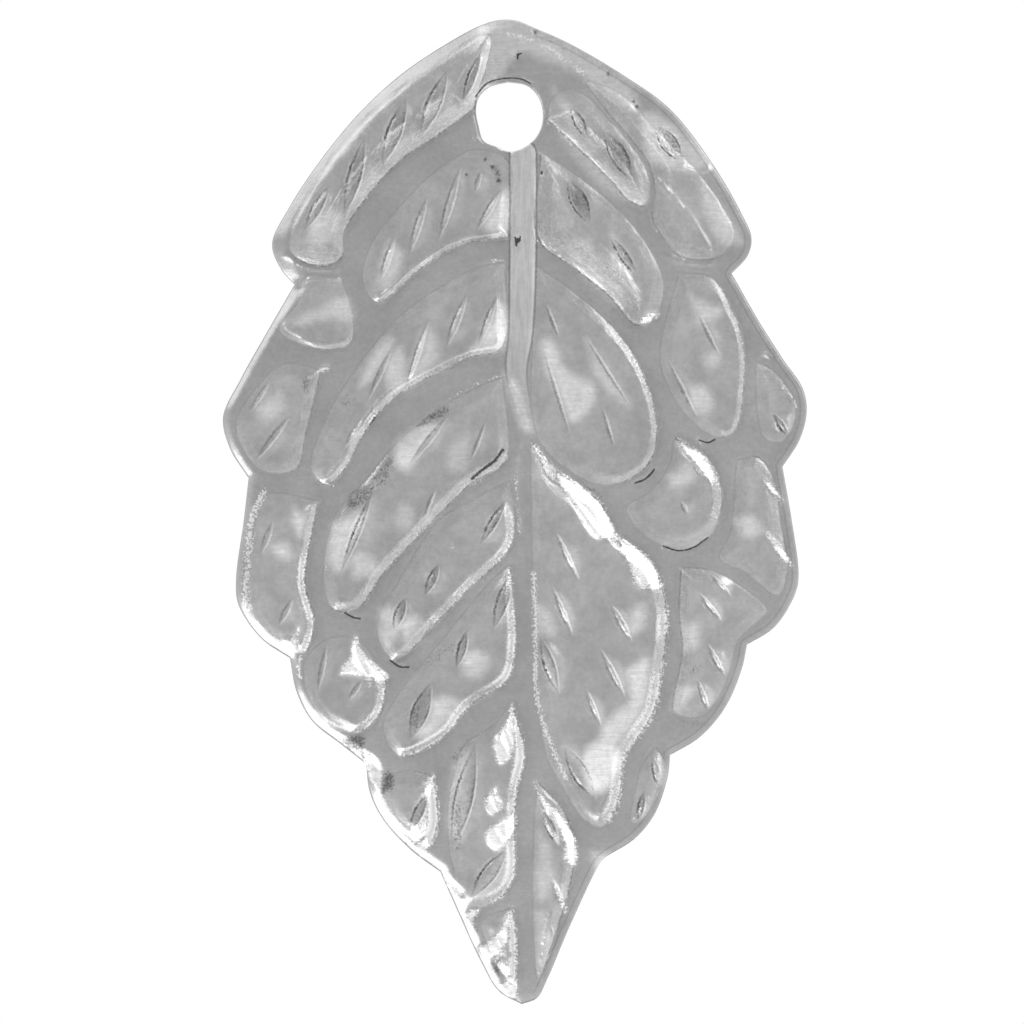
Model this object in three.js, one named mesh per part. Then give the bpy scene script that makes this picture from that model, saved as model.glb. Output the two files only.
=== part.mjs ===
// A leaf charm stamped from one thin sheet of metal: a lobed blank with a punched hole for hanging,
// overlapping leaflets pressed up on the front and hollow behind, a short low midrib, and fine raised barbs
// on the leaflets, like a feather's.
// Millimetres. The leaf hangs in the XZ plane with its tip down, and its front faces -Y.
// The centre of the hole is the origin, at half the sheet's thickness.
import * as THREE from "three";
import { ConvexHull } from "three/addons/math/ConvexHull.js";

// The blank
const leafLength = 21.9;
const leafWidth = 13;
const sheetThickness = 0.35;
const edgeRoundWidth = 0.25; // the front edge is rounded over this width
const edgeRoundDepth = 0.13;

// The hanging hole
const holeDiameter = 1.52;
const holeRollWidth = 0.11; // the punch rolls the front over round the hole
const holeRollDepth = 0.05;

// The pressed leaflets
const leafletRise = 0.21;
const shoulderWidth = 0.24; // from a leaflet's foot to its crest, in plan
const dishDepth = 0.03; // the top sinks inside the crest
const dishWidth = 0.3;
const hollowInset = 0.1; // a hollow behind starts this far inside its leaflet's foot
const hollowDepth = 0.15;

// The midrib, and the barbs on the leaflets
const midribRise = 0.06; // at the hole, from where it narrows and sinks to nothing
const midribWidth = 0.6;
const barbWidth = 0.26;
const barbRise = 0.06;

// How finely the curves are followed
const edgeStep = 0.26;
const holeSides = 40;
const footStep = 0.36;
const floorStep = 0.55;
const midribStep = 0.3;
const ridgeRoom = 0.08; // no other point comes nearer to a point of a foot, a crest or a rim
const barbRoom = 0.07;
const floorRoom = 0.2;

// The pattern is drawn on squares counted across and down from the hole, as on squared paper.
// The blank covers this many squares each way.
const drawingAcross = 130;
const drawingDown = 219;

// The blank's edge, from the top down the left side and back up the right, one curve for each lobe.
// Two neighbouring lobes meet in a sharp notch, and the last point of one is the first of the next.
const lobes = [
  [[0, -21.5], [-6.5, -20], [-13.5, -16.5], [-24, -9.5], [-33.3, -1], [-42, 9.5], [-49, 20], [-53, 28.5],
    [-51, 34], [-48, 37.5]],
  [[-48, 37.5], [-53.8, 47.5], [-60, 58.5], [-63.9, 67], [-62.3, 74], [-58.2, 80.5]],
  [[-58.2, 80.5], [-59.3, 90], [-61, 103], [-60.5, 108.5], [-55.5, 116], [-49, 120.5]],
  [[-49, 120.5], [-47.5, 128], [-44, 134.5], [-37.8, 139.5], [-32, 144]],
  [[-32, 144], [-31.3, 150], [-28.5, 156], [-22.2, 163], [-15.5, 168]],
  [[-15.5, 168], [-11.1, 178], [-6.7, 187.5], [-2.5, 194.5], [2.6, 197.4]],
  [[2.6, 197.4], [6, 196], [8.4, 191.5], [13.3, 180], [20, 166], [21.3, 164.6]],
  [[21.3, 164.6], [27.8, 160.5], [32.2, 155], [35, 147], [35.6, 142]],
  [[35.6, 142], [42.2, 138], [47.8, 131.5], [51.5, 123], [52.7, 117.5]],
  [[52.7, 117.5], [58.9, 113.5], [63.5, 106], [64.2, 102], [62.7, 90], [60.6, 78]],
  [[60.6, 78], [64.4, 72], [66, 65.8], [65.1, 60.5], [60.7, 54], [55, 45], [49.3, 35]],
  [[49.3, 35], [52.9, 31], [53.7, 27], [51.3, 21.3], [45.3, 11], [35.6, -1.5], [25.6, -8.8], [13.3, -16],
    [0, -21.5]],
];

// Each leaflet's foot, starting and ending at its sharp corner.
const leaflets = [
  // against the edge, down the left side
  [[-8, -1.5], [-4.5, -18], [-15.5, -12], [-29, -2], [-38, 7.5], [-45, 18], [-49, 26.5], [-48.5, 30.8],
    [-42, 33.4], [-37.5, 31.5], [-36.7, 25.5], [-33.3, 20], [-24.5, 10], [-15.5, 4], [-8, -1.5]],
  [[-37.5, 35.8], [-46, 36.2], [-47, 41], [-51.5, 47.5], [-46.5, 50.8], [-40, 52], [-35.5, 50.5],
    [-34.8, 45], [-37.5, 35.8]],
  [[-42, 56.5], [-50, 55], [-56.5, 60.5], [-61, 68], [-59.5, 74], [-55, 79], [-47.5, 78.5], [-45.5, 71],
    [-42, 56.5]],
  [[-42.5, 85.5], [-54, 84.2], [-57.3, 93], [-58.6, 105], [-56.5, 113], [-51, 117.5], [-46, 119.5],
    [-43.5, 113], [-45.5, 104], [-44.5, 95], [-42.5, 85.5]],
  [[-27.5, 126], [-33, 117], [-40, 116], [-45.5, 121], [-45.3, 128], [-41, 134.5], [-34, 137], [-29, 133],
    [-27.5, 126]],
  [[-17, 146.5], [-23, 145.5], [-29.3, 148], [-27.5, 154], [-22.5, 160], [-18.5, 162.5], [-16.2, 157.5],
    [-17, 146.5]],
  // between the midrib and those, down the left side
  [[-0.5, 27], [-0.5, 10], [-7.8, 7.5], [-15.5, 11.5], [-23, 18.5], [-31, 28.7], [-32.8, 37], [-29.5, 41.5],
    [-20, 34.2], [-11, 28.8], [-0.5, 27]],
  [[-1, 32.5], [-8, 34], [-16.5, 38.7], [-25, 45], [-34.5, 56.5], [-41, 67.5], [-44.3, 78.5], [-41, 82],
    [-36.3, 78], [-33.3, 72], [-26.7, 63.5], [-17.8, 58], [-9, 53.8], [-1.8, 51.5], [-1, 32.5]],
  [[-1.6, 58], [-6.7, 60], [-14.5, 64.3], [-24.5, 72], [-33.5, 82.5], [-39, 89], [-41.5, 103],
    [-39.5, 109.5], [-34, 109.5], [-28, 101.5], [-20, 93], [-9, 82], [-1, 76.5], [-1.6, 58]],
  [[0, 81], [-9, 85.7], [-16, 90], [-24.5, 103], [-29, 110.5], [-29.3, 116.5], [-25.5, 121], [-17.8, 114],
    [-9, 105], [0, 96], [1.2, 90], [0, 81]],
  [[0, 99.5], [-4.4, 103.5], [-15.6, 117], [-24.5, 128], [-28.3, 135.5], [-25, 142], [-15.5, 138.5],
    [-9, 131], [-0.5, 125], [1.3, 116], [0, 99.5]],
  [[0.4, 130], [-3.3, 135], [-10, 139.5], [-12.5, 146], [-14, 156], [-13, 165.5], [-10, 176], [-2.5, 174],
    [0.8, 169], [1, 158], [1.5, 150], [3.2, 142], [0.4, 130]],
  [[0.4, 175.8], [-6.3, 179], [-5, 184.5], [-2.3, 190], [0.6, 193], [1.4, 184], [0.4, 175.8]],
  // against the edge, down the right side
  [[8.5, -3.5], [13, -6], [18.5, -3], [25, 5], [30, 13], [30.5, 17.5], [27, 19], [22, 14.5], [15, 8.5],
    [8.5, -3.5]],
  [[16, -8.3], [24.5, -5], [33, 3.5], [41, 11.5], [47, 19.5], [50, 26.5], [46.5, 31.3], [38, 31.3], [34, 27],
    [32, 18], [26, 4], [16, -8.3]],
  [[37.5, 34.8], [45, 36], [49.3, 43], [51.8, 50], [52, 61], [50, 70], [46.5, 71.5], [40, 67.5], [35, 60],
    [33.3, 53], [37.5, 34.8]],
  [[54.5, 54.5], [58.5, 56.5], [63, 62.5], [63.5, 67.5], [60.5, 72.5], [56.5, 71.5], [55, 66], [54.5, 54.5]],
  [[36.5, 71.5], [42.2, 74.5], [46, 79.5], [47.2, 86], [44.5, 93.5], [38, 96], [31, 94], [25.8, 87.3],
    [31, 83.5], [35, 78.5], [36.5, 71.5]],
  [[50.3, 76.5], [55, 75.8], [58.5, 80], [60.2, 90], [61.8, 101], [59.5, 106.5], [52, 101.3], [46.5, 98.3],
    [49, 92.5], [50.3, 76.5]],
  [[38, 100.3], [45, 101], [52, 104.8], [57.3, 110], [54.5, 112.8], [50.5, 117], [49.3, 122], [46, 130],
    [42, 132.6], [37.2, 131], [36.7, 121], [38, 100.3]],
  [[32.3, 140.3], [29, 144.5], [27.5, 152], [27.3, 157.5], [30.8, 153.5], [33, 147.5], [32.3, 140.3]],
  // between the midrib and those, down the right side
  [[6.8, 8], [14.5, 13], [24, 20.7], [31, 29.3], [34.3, 38], [32.3, 44.5], [28, 46.5], [22, 40], [14, 33.7],
    [6.4, 27.5], [6.8, 8]],
  [[5.6, 33.3], [12, 37.5], [20, 44], [26.3, 51.5], [30.8, 60.5], [32.7, 70], [31.3, 76.5], [26.5, 80.7],
    [20, 82], [13.3, 79], [8, 74.5], [5.2, 68], [5.6, 33.3]],
  [[4.4, 72], [10.4, 79], [15.6, 82.5], [20, 86], [24.3, 93.8], [28.8, 97], [32, 100.5], [34.5, 108],
    [34.8, 114.5], [34, 121], [32, 132], [28.8, 137.5], [25.4, 142.5], [24, 152], [20.5, 158],
    [16.5, 156.5], [11.5, 148.7], [8.3, 143], [6.2, 130], [5.2, 108], [4.4, 72]],
  [[6, 148], [12, 154.5], [14.3, 162], [13.3, 171], [10, 182], [6.3, 192], [5.3, 185], [5.2, 160], [6, 148]],
];

// The middle of the midrib, from the hole down to where it has gone.
const midrib = [[2.9, 8.5], [2.9, 26], [2.4, 48], [1.4, 57], [3.9, 69]];

// The barbs, each from its upper end to its lower end.
const barbs = [
  [[-6.7, -15], [-10.9, -2]], [[-13.8, -10.5], [-20.2, 3.5]], [[-23, -4.5], [-28.2, 8]],
  [[-32.4, 5], [-36.5, 20]], [[-40, 15], [-45.5, 26.5]],
  [[-55, 61], [-58.5, 66.5]], [[-52.2, 68.5], [-55.5, 75]],
  [[-48, 91], [-53, 101]], [[-49, 104], [-53, 112]],
  [[-37, 120], [-41, 127]], [[-32, 125], [-36, 132]],
  [[-6.7, 10.5], [-7.8, 16.5]], [[-2.2, 15], [-7.6, 25]], [[-11, 12], [-16.2, 27.5]],
  [[-18.5, 18.5], [-23, 31]], [[-25.8, 28], [-29, 36]],
  [[-4, 38.5], [-7, 49.5]], [[-9, 38.7], [-14.2, 51]], [[-17.6, 45], [-23.3, 58.5]],
  [[-25.6, 51], [-31, 63]], [[-33.3, 65], [-37, 73]],
  [[-5.5, 64], [-9.5, 74]], [[-15.6, 70], [-22.5, 80]], [[-24.5, 78], [-29, 88]], [[-31, 86], [-37.3, 100]],
  [[-2.2, 87], [-7, 95]], [[-15.6, 98.5], [-20, 106.5]], [[-23, 107.5], [-24, 115]],
  [[-2.2, 104], [-3.8, 116]], [[-9.3, 114], [-12.2, 124]], [[-17.1, 126.5], [-21.8, 137]],
  [[-0.4, 137], [-6, 148]], [[-0.9, 153.5], [-9, 158]], [[-0.5, 161], [-8, 168]], [[-1.2, 167], [-8.5, 173]],
  [[-0.6, 180], [-3, 186]],
  [[11.8, -3], [17.3, 5]], [[20.4, 3.5], [27, 14.5]], [[32.2, 5.5], [38, 13]], [[41, 20], [46, 28]],
  [[39, 38], [45.6, 52]], [[36.3, 54.5], [40.5, 64]],
  [[60.8, 61], [62.3, 65]], [[57.5, 63.5], [60.5, 69]],
  [[38, 84], [41.5, 90]],
  [[55.3, 80], [58, 87]], [[55, 92], [59.5, 101]],
  [[45, 103], [53.5, 110]], [[42.2, 106], [47.8, 114]], [[43, 117], [46.5, 125]], [[41, 124], [43, 130]],
  [[12.7, 14.5], [18, 24]], [[8, 15], [12.9, 28.5]], [[24.4, 28], [28, 36]],
  [[7.8, 41], [11, 49]], [[15.6, 47.5], [22, 57]], [[23, 57], [28.2, 66]], [[7.2, 53], [9.5, 59]],
  [[20, 63], [26.7, 76]],
  [[9.6, 92], [15.8, 104]], [[8.7, 103.5], [14.2, 116.5]], [[7.2, 117], [11.5, 130]],
  [[22.2, 107.5], [27.6, 117.5]],
  [[20, 118], [24.4, 125]], [[16.7, 126.5], [20.4, 136]], [[14.4, 139], [19, 150.5]],
  [[7.8, 155], [11, 162]], [[8.4, 168], [11.5, 176]], [[7.2, 179], [8.8, 184]],
];

const silver = new THREE.MeshStandardMaterial({ color: 0xbcbcbe, roughness: 0.28, metalness: 1 });

function onLeaf([across, down]) {
  return new THREE.Vector2((across * leafWidth) / drawingAcross, (-down * leafLength) / drawingDown);
}

// A smooth curve through drawn points, as plan points about one step apart, without its last point.
function followCurve(drawn, step) {
  const through = drawn.map(onLeaf).map((p) => new THREE.Vector3(p.x, p.y, 0));
  const curve = new THREE.CatmullRomCurve3(through, false, "centripetal");
  const count = Math.max(1, Math.round(curve.getLength() / step));
  return curve.getSpacedPoints(count).slice(0, -1).map((p) => new THREE.Vector2(p.x, p.y));
}

function circle(radius, sides) {
  return Array.from({ length: sides }, (_, i) => {
    const turn = (-2 * Math.PI * i) / sides;
    return new THREE.Vector2(radius * Math.cos(turn), radius * Math.sin(turn));
  });
}

function distanceToSegment(p, a, b) {
  const alongX = b.x - a.x;
  const alongY = b.y - a.y;
  const share = ((p.x - a.x) * alongX + (p.y - a.y) * alongY) / (alongX ** 2 + alongY ** 2);
  const held = Math.min(1, Math.max(0, share));
  return Math.hypot(p.x - a.x - held * alongX, p.y - a.y - held * alongY);
}

// How far a point lies from an open line.
function distanceToLine(p, line) {
  const spans = line.slice(1).map((b, i) => distanceToSegment(p, line[i], b));
  return Math.min(...spans);
}

// How far a point lies inside a closed line, negative outside it.
function depthInside(p, line) {
  let nearest = Infinity;
  let inside = false;
  let a = line[line.length - 1];
  for (const b of line) {
    nearest = Math.min(nearest, distanceToSegment(p, a, b));
    if (a.y > p.y !== b.y > p.y && p.x < a.x + ((b.x - a.x) * (p.y - a.y)) / (b.y - a.y)) inside = !inside;
    a = b;
  }
  return inside ? nearest : -nearest;
}

// The points of a closed line moved inwards, without those that would land too near another side.
function insetLine(line, inset) {
  return line
    .map((p, i) => {
      const before = line[(i + line.length - 1) % line.length];
      const after = line[(i + 1) % line.length];
      const along = after.clone().sub(before).normalize();
      const inwards = new THREE.Vector2(-along.y, along.x);
      return p.clone().addScaledVector(inwards, inset);
    })
    .filter((p) => depthInside(p, line) > 0.85 * inset);
}

// Every closed line below runs with its inside on the left.
function insideOnLeft(line) {
  return THREE.ShapeUtils.area(line) < 0 ? line.reverse() : line;
}

const edgeLine = insideOnLeft(lobes.flatMap((lobe) => followCurve(lobe, edgeStep)));
const holeLine = circle(holeDiameter / 2, holeSides);
const holeStep = holeLine[0].distanceTo(holeLine[1]);
const midribLine = followCurve(midrib, midribStep);
const leafletLines = leaflets.map((drawn) => insideOnLeft(followCurve(drawn, footStep)));
const floorLines = leaflets.map((drawn) => insideOnLeft(followCurve(drawn, floorStep)));
const barbLines = barbs.map((ends) => ends.map(onLeaf));

const ease = (share) => THREE.MathUtils.smoothstep(share, 0, 1);

// A barb is a low ridge, pointed at both ends: its half width at a share of its length.
const barbHalfWidth = (share) => (barbWidth / 2) * Math.sin(Math.PI * share);

// How far a point lies inside the leaflet that holds it, at most.
const depthInLeaflets = (p) => Math.max(...leafletLines.map((line) => depthInside(p, line)));

function barbHeight(p, [a, b]) {
  const along = b.clone().sub(a);
  const share = p.clone().sub(a).dot(along) / along.lengthSq();
  if (share <= 0 || share >= 1) return 0;
  const aside = p.distanceTo(a.clone().addScaledVector(along, share));
  return barbRise * Math.sin(Math.PI * share) * Math.max(0, 1 - aside / barbHalfWidth(share));
}

function midribHeight(p) {
  const begin = midribLine[0].y;
  const end = midribLine[midribLine.length - 1].y;
  const share = Math.min(1, (p.y - end) / (begin - end));
  if (share <= 0) return 0;
  return midribRise * share * ease(1 - distanceToLine(p, midribLine) / (share * midribWidth / 2));
}

// How far the front stands above the sheet's flat front at a point of the plan.
function frontHeight(p) {
  let height = midribHeight(p);
  for (const line of leafletLines) {
    const inside = depthInside(p, line);
    const dish = dishDepth * ease((inside - shoulderWidth) / dishWidth);
    height = Math.max(height, leafletRise * ease(inside / shoulderWidth) - dish);
  }
  if (depthInLeaflets(p) > shoulderWidth) {
    for (const ends of barbLines) height += barbHeight(p, ends);
  }
  const edgeShare = 1 - Math.min(1, depthInside(p, edgeLine) / edgeRoundWidth);
  const holeShare = 1 - Math.min(1, (p.length() - holeDiameter / 2) / holeRollWidth);
  return height - edgeRoundDepth * edgeShare ** 2 - holeRollDepth * holeShare ** 2;
}

// How deep the back is pressed in at a point of the plan.
function backDepth(p) {
  let depth = 0;
  for (const line of leafletLines) {
    const inside = depthInside(p, line) - hollowInset;
    depth = Math.max(depth, hollowDepth * ease(inside / shoulderWidth));
  }
  return depth;
}

// The rim of the plan, then groups of points in order of weight, each with the room round its points.
function spreadPoints(groups) {
  const points = [...edgeLine, ...holeLine];
  for (const [room, wanted] of groups) {
    for (const p of wanted) {
      if (depthInside(p, edgeLine) < 0.6 * edgeStep) continue;
      if (p.length() < holeDiameter / 2 + 0.6 * holeStep) continue;
      if (points.every((other) => other.distanceTo(p) > room)) points.push(p);
    }
  }
  return points;
}

// Delaunay triangles of the plan: the underside of the hull of the points lifted onto a bowl.
function triangulate(points) {
  const lifted = points.map((p) => new THREE.Vector3(p.x, p.y, p.lengthSq()));
  const indexOf = new Map(lifted.map((p, i) => [p, i]));
  const triangles = [];
  for (const face of new ConvexHull().setFromPoints(lifted).faces) {
    if (face.normal.z >= 0) continue;
    const corners = [0, 1, 2].map((i) => indexOf.get(face.getEdge(i).head().point));
    const plan = corners.map((i) => points[i]);
    const middle = plan[0].clone().add(plan[1]).add(plan[2]).divideScalar(3);
    if (depthInside(middle, edgeLine) < 0 || depthInside(middle, holeLine) > 0) continue;
    triangles.push(THREE.ShapeUtils.area(plan) > 0 ? corners : corners.reverse());
  }
  return triangles;
}

function frontPoints() {
  const crests = leafletLines.flatMap((line) => insetLine(line, shoulderWidth));
  const floors = floorLines.flatMap((line) => insetLine(line, shoulderWidth + dishWidth));
  const edgeInner = insetLine(edgeLine, edgeRoundWidth);
  const holeOuter = circle(holeDiameter / 2 + holeRollWidth, holeSides);
  const barbPoints = barbLines.flatMap(([a, b]) => {
    const aside = b.clone().sub(a).normalize().rotateAround(new THREE.Vector2(), Math.PI / 2);
    const rows = [0.25, 0.5, 0.75].flatMap((share) =>
      [-1, 0, 1].map((side) => a.clone().lerp(b, share).addScaledVector(aside, side * barbHalfWidth(share))),
    );
    return [a, b, ...rows].filter((p) => depthInLeaflets(p) > shoulderWidth);
  });
  return spreadPoints([
    [ridgeRoom, [...edgeInner, ...holeOuter, ...crests, ...leafletLines.flat()]],
    [barbRoom, [...barbPoints, ...midribLine]],
    [floorRoom, floors],
  ]);
}

function backPoints() {
  const feet = leafletLines.flatMap((line) => insetLine(line, hollowInset));
  const floors = leafletLines.flatMap((line) => insetLine(line, hollowInset + shoulderWidth));
  return spreadPoints([[ridgeRoom, [...feet, ...floors]]]);
}

// The closed surface: the front, the back, and the walls of the blank's edge and of the hole.
function stampedSheet() {
  const front = frontPoints();
  const back = backPoints();
  const frontAt = front.map((p) => [p.x, -sheetThickness / 2 - frontHeight(p), p.y]);
  const backAt = back.map((p) => [p.x, sheetThickness / 2 - backDepth(p), p.y]);
  const faces = triangulate(front);
  const first = front.length;
  for (const [a, b, c] of triangulate(back)) faces.push([first + a, first + c, first + b]);
  const wall = (start, count) => {
    for (let i = 0; i < count; i++) {
      const here = start + i;
      const next = start + ((i + 1) % count);
      faces.push([next, here, first + here], [next, first + here, first + next]);
    }
  };
  wall(0, edgeLine.length);
  wall(edgeLine.length, holeLine.length);
  const geometry = new THREE.BufferGeometry();
  geometry.setAttribute("position", new THREE.Float32BufferAttribute([...frontAt, ...backAt].flat(), 3));
  geometry.setIndex(faces.flat());
  geometry.computeVertexNormals();
  return geometry;
}

const charm = new THREE.Group();
const leaf = new THREE.Mesh(stampedSheet(), silver);
leaf.name = "stamped_leaf";
charm.add(leaf);

export default charm;
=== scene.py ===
import math

import bpy
import numpy as np
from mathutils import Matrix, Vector, geometry, kdtree, noise


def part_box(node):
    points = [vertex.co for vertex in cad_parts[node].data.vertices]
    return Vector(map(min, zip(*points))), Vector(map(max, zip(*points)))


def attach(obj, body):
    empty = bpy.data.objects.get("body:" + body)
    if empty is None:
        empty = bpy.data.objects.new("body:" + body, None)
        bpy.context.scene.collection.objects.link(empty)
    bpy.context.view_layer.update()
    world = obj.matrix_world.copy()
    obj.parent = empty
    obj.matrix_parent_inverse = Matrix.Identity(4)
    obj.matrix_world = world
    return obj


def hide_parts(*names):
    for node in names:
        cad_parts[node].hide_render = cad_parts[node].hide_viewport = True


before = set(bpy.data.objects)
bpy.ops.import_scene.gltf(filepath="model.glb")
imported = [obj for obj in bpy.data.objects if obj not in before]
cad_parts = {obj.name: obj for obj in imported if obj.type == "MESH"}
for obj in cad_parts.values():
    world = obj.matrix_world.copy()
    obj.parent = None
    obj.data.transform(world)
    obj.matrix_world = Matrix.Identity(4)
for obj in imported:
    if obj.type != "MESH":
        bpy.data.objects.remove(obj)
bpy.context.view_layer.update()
print("Frame loaded with", len(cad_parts), "node")

millimetre = 0.001
leafLow, leafHigh = (np.array(corner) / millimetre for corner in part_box("stamped_leaf"))

# The drawing. Points are squares across and down from the middle of the hole, a tenth of a millimetre each.
# The blank's edge, one curve for each lobe, from the right over the top to the left, and round by the tip.
# Each curve ends where the next one starts.
lobes = [
    [(49.3, 35), (52.9, 31), (53.7, 27), (51.3, 21.3), (45.3, 11), (35.6, -1.5), (25.6, -8.8), (13, -16.2),
     (5.1, -19.7), (1.5, -21.2), (-2.2, -21.4), (-6.5, -20.2), (-13.5, -16.5), (-24, -9.5), (-33.3, -1),
     (-42, 9.5), (-49, 20), (-53, 28.5), (-51, 34)],
    [(-48, 37.5), (-53.8, 47.5), (-60, 58.5), (-63.9, 67), (-62.3, 74)],
    [(-58.2, 80.5), (-59.3, 90), (-61, 103), (-60.5, 108.5), (-55.5, 116)],
    [(-49, 120.5), (-47.5, 128), (-44, 134.5), (-37.8, 139.5)],
    [(-32, 144), (-31.3, 150), (-28.5, 156), (-22.2, 163)],
    [(-15.5, 168), (-11.1, 178), (-6.7, 187.5), (-2.5, 194.5)],
    [(2.6, 197.4), (6, 196), (8.4, 191.5), (13.3, 180), (20, 166)],
    [(21.3, 164.6), (27.8, 160.5), (32.2, 155), (35, 147)],
    [(35.6, 142), (42.2, 138), (47.8, 131.5), (51.5, 123)],
    [(52.7, 117.5), (58.9, 113.5), (63.5, 106), (64.2, 102), (62.7, 90)],
    [(60.6, 78), (64.4, 72), (66, 65.8), (65.1, 60.5), (60.7, 54), (55, 45)],
]

# The hole is punched a little out of round, with flats at its lower left.
holeOutline = [(-0.5, -7.7), (3.8, -6.9), (6.4, -4.2), (7.3, -0.9), (6.9, 2.7), (4.9, 5.8), (0.4, 8),
               (-2.9, 6.9), (-6, 5.3), (-7, 2.2), (-7.6, -1.1), (-7, -4.2), (-4.6, -6.6)]

# Each leaflet's foot, from its sharp corner round to that corner again.
leaflets = {
    # against the edge, down the left side
    "leftOuter1": [(-8, -1.5), (-4.5, -18), (-15.5, -12), (-29, -2), (-38, 7.5), (-45, 18), (-49, 26.5),
        (-48.5, 30.8), (-42, 33.4), (-37.5, 31.5), (-36.7, 25.5), (-33.3, 20), (-24.5, 10), (-15.5, 4)],
    "leftOuter2": [(-37.5, 35.8), (-46, 36.2), (-47, 41), (-51.5, 47.5), (-46.5, 50.8), (-40, 52),
        (-35.5, 50.5), (-34.8, 45)],
    "leftOuter3": [(-42, 56.5), (-50, 55), (-56.5, 60.5), (-61, 68), (-59.5, 74), (-55, 79), (-47.5, 78.5),
        (-45.5, 71)],
    "leftOuter4": [(-42.5, 85.5), (-54, 84.2), (-57.3, 93), (-58.6, 105), (-56.5, 113), (-51, 117.5),
        (-46, 119.5), (-43.5, 113), (-45.5, 104), (-44.5, 95)],
    "leftOuter5": [(-27.5, 126), (-33, 117), (-40, 116), (-45.5, 121), (-45.3, 128), (-41, 134.5),
        (-34, 137), (-29, 133)],
    "leftOuter6": [(-17, 146.5), (-23, 145.5), (-29.3, 148), (-27.5, 154), (-22.5, 160), (-18.5, 162.5),
        (-16.2, 157.5)],
    # between the midrib and those
    "leftInner1": [(-0.5, 27), (-0.5, 10), (-7.8, 7.5), (-15.5, 11.5), (-23, 18.5), (-31, 28.7),
        (-32.8, 37), (-29.5, 41.5), (-20, 34.2), (-11, 28.8)],
    "leftInner2": [(-1, 32.5), (-8, 34), (-16.5, 38.7), (-25, 45), (-34.5, 56.5), (-41, 67.5),
        (-44.3, 78.5), (-41, 82), (-36.3, 78), (-33.3, 72), (-26.7, 63.5), (-17.8, 58), (-9, 53.8),
        (-1.8, 51.5)],
    "leftInner3": [(-1.6, 58), (-6.7, 60), (-14.5, 64.3), (-24.5, 72), (-33.5, 82.5), (-39, 89),
        (-41.5, 103), (-39.5, 109.5), (-34, 109.5), (-28, 101.5), (-20, 93), (-9, 82), (-1, 76.5)],
    "leftInner4": [(0, 81), (-9, 85.7), (-16, 90), (-24.5, 103), (-29, 110.5), (-29.3, 116.5), (-25.5, 121),
        (-17.8, 114), (-9, 105), (0, 96), (1.2, 90)],
    "leftInner5": [(0, 99.5), (-4.4, 103.5), (-15.6, 117), (-24.5, 128), (-28.3, 135.5), (-25, 142),
        (-15.5, 138.5), (-9, 131), (-0.5, 125), (1.3, 116)],
    "leftInner6": [(0.4, 130), (-3.3, 135), (-10, 139.5), (-12.5, 146), (-14, 156), (-13, 165.5),
        (-10, 176), (-2.5, 174), (0.8, 169), (1, 158), (1.5, 150), (3.2, 142)],
    "leftInner7": [(0.4, 175.8), (-6.3, 179), (-5, 184.5), (-2.3, 190), (0.6, 193), (1.4, 184)],
    # against the edge, down the right side
    "rightOuter1": [(8.1, 0.9), (9.3, -3.8), (13, -6), (17.2, -4.3), (20.7, -0.6), (26.7, 6.1), (30.4, 12),
        (31.3, 17), (29.8, 20), (26.7, 19), (22.2, 14.2), (17, 9), (11.9, 4.2)],
    "rightOuter2": [(16, -8.3), (24.5, -5), (33, 3.5), (41, 11.5), (47, 19.5), (50, 26.5), (46.5, 31.3),
        (38, 31.3), (34, 27), (31.6, 22.4), (32.2, 16.5), (31, 11), (27.4, 5.7), (21.4, -1.2)],
    "rightOuter3": [(37.5, 34.8), (45, 36), (49.3, 43), (51.8, 50), (52, 61), (50, 70), (46.5, 71.5),
        (40, 67.5), (35, 60), (33.3, 53)],
    "rightOuter4": [(54.5, 54.5), (58.5, 56.5), (63, 62.5), (63.5, 67.5), (60.5, 72.5), (56.5, 71.5),
        (55, 66)],
    "rightOuter5": [(36.5, 71.5), (42.2, 74.5), (46, 79.5), (47.2, 86), (44.5, 93.5), (38, 96), (31, 94),
        (25.8, 87.3), (31, 83.5), (35, 78.5)],
    "rightOuter6": [(50.3, 76.5), (55, 75.8), (58.5, 80), (60.2, 90), (61.8, 101), (59.5, 106.5),
        (52, 101.3), (46.5, 98.3), (49, 92.5)],
    "rightOuter7": [(38, 100.3), (45, 101), (52, 104.8), (57.3, 110), (54.5, 112.8), (50.5, 117),
        (49.3, 122), (46, 130), (42, 133.6), (36.4, 132.4), (37, 126), (38.3, 119), (37.6, 110)],
    "rightOuter8": [(32.3, 140), (29.3, 144.5), (27.8, 150), (27, 157), (29.3, 156.5), (32.2, 152.5),
        (33.8, 147.5), (34.2, 143)],
    # between the midrib and those
    "rightInner1": [(6.8, 8), (14.5, 13), (24, 20.7), (31, 29.3), (34.3, 38), (32.3, 44.5), (28, 46.5),
        (22, 40), (14, 33.7), (6.4, 27.5)],
    "rightInner2": [(5.6, 33.3), (12, 37.5), (20, 44), (26.3, 51.5), (30.8, 60.5), (32.7, 70), (31.3, 76.5),
        (26.5, 80.7), (20, 82), (13.3, 79), (8, 74.5), (5.2, 68)],
    "rightInner3": [(4.4, 72), (10.4, 79), (15.6, 82.5), (20, 86), (24.3, 93.8), (28.8, 97), (32, 100.5),
        (34.5, 108), (34.8, 114.5), (34, 121), (32, 132), (28.8, 137.5), (25.4, 142.5), (24, 152),
        (20.5, 158), (16.5, 156.5), (11.5, 148.7), (8.3, 143), (6.2, 130), (5.2, 108)],
    "rightInner4": [(6, 148), (12, 154.5), (14.3, 162), (13.3, 171), (10, 182), (6.3, 192), (5.3, 185),
        (5.2, 160)],
}

# The middle of the midrib, from the hole down to where it flattens out.
midrib = [(2.9, 8.5), (2.9, 26), (2.4, 48), (1.4, 57), (3.9, 69)]

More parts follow.
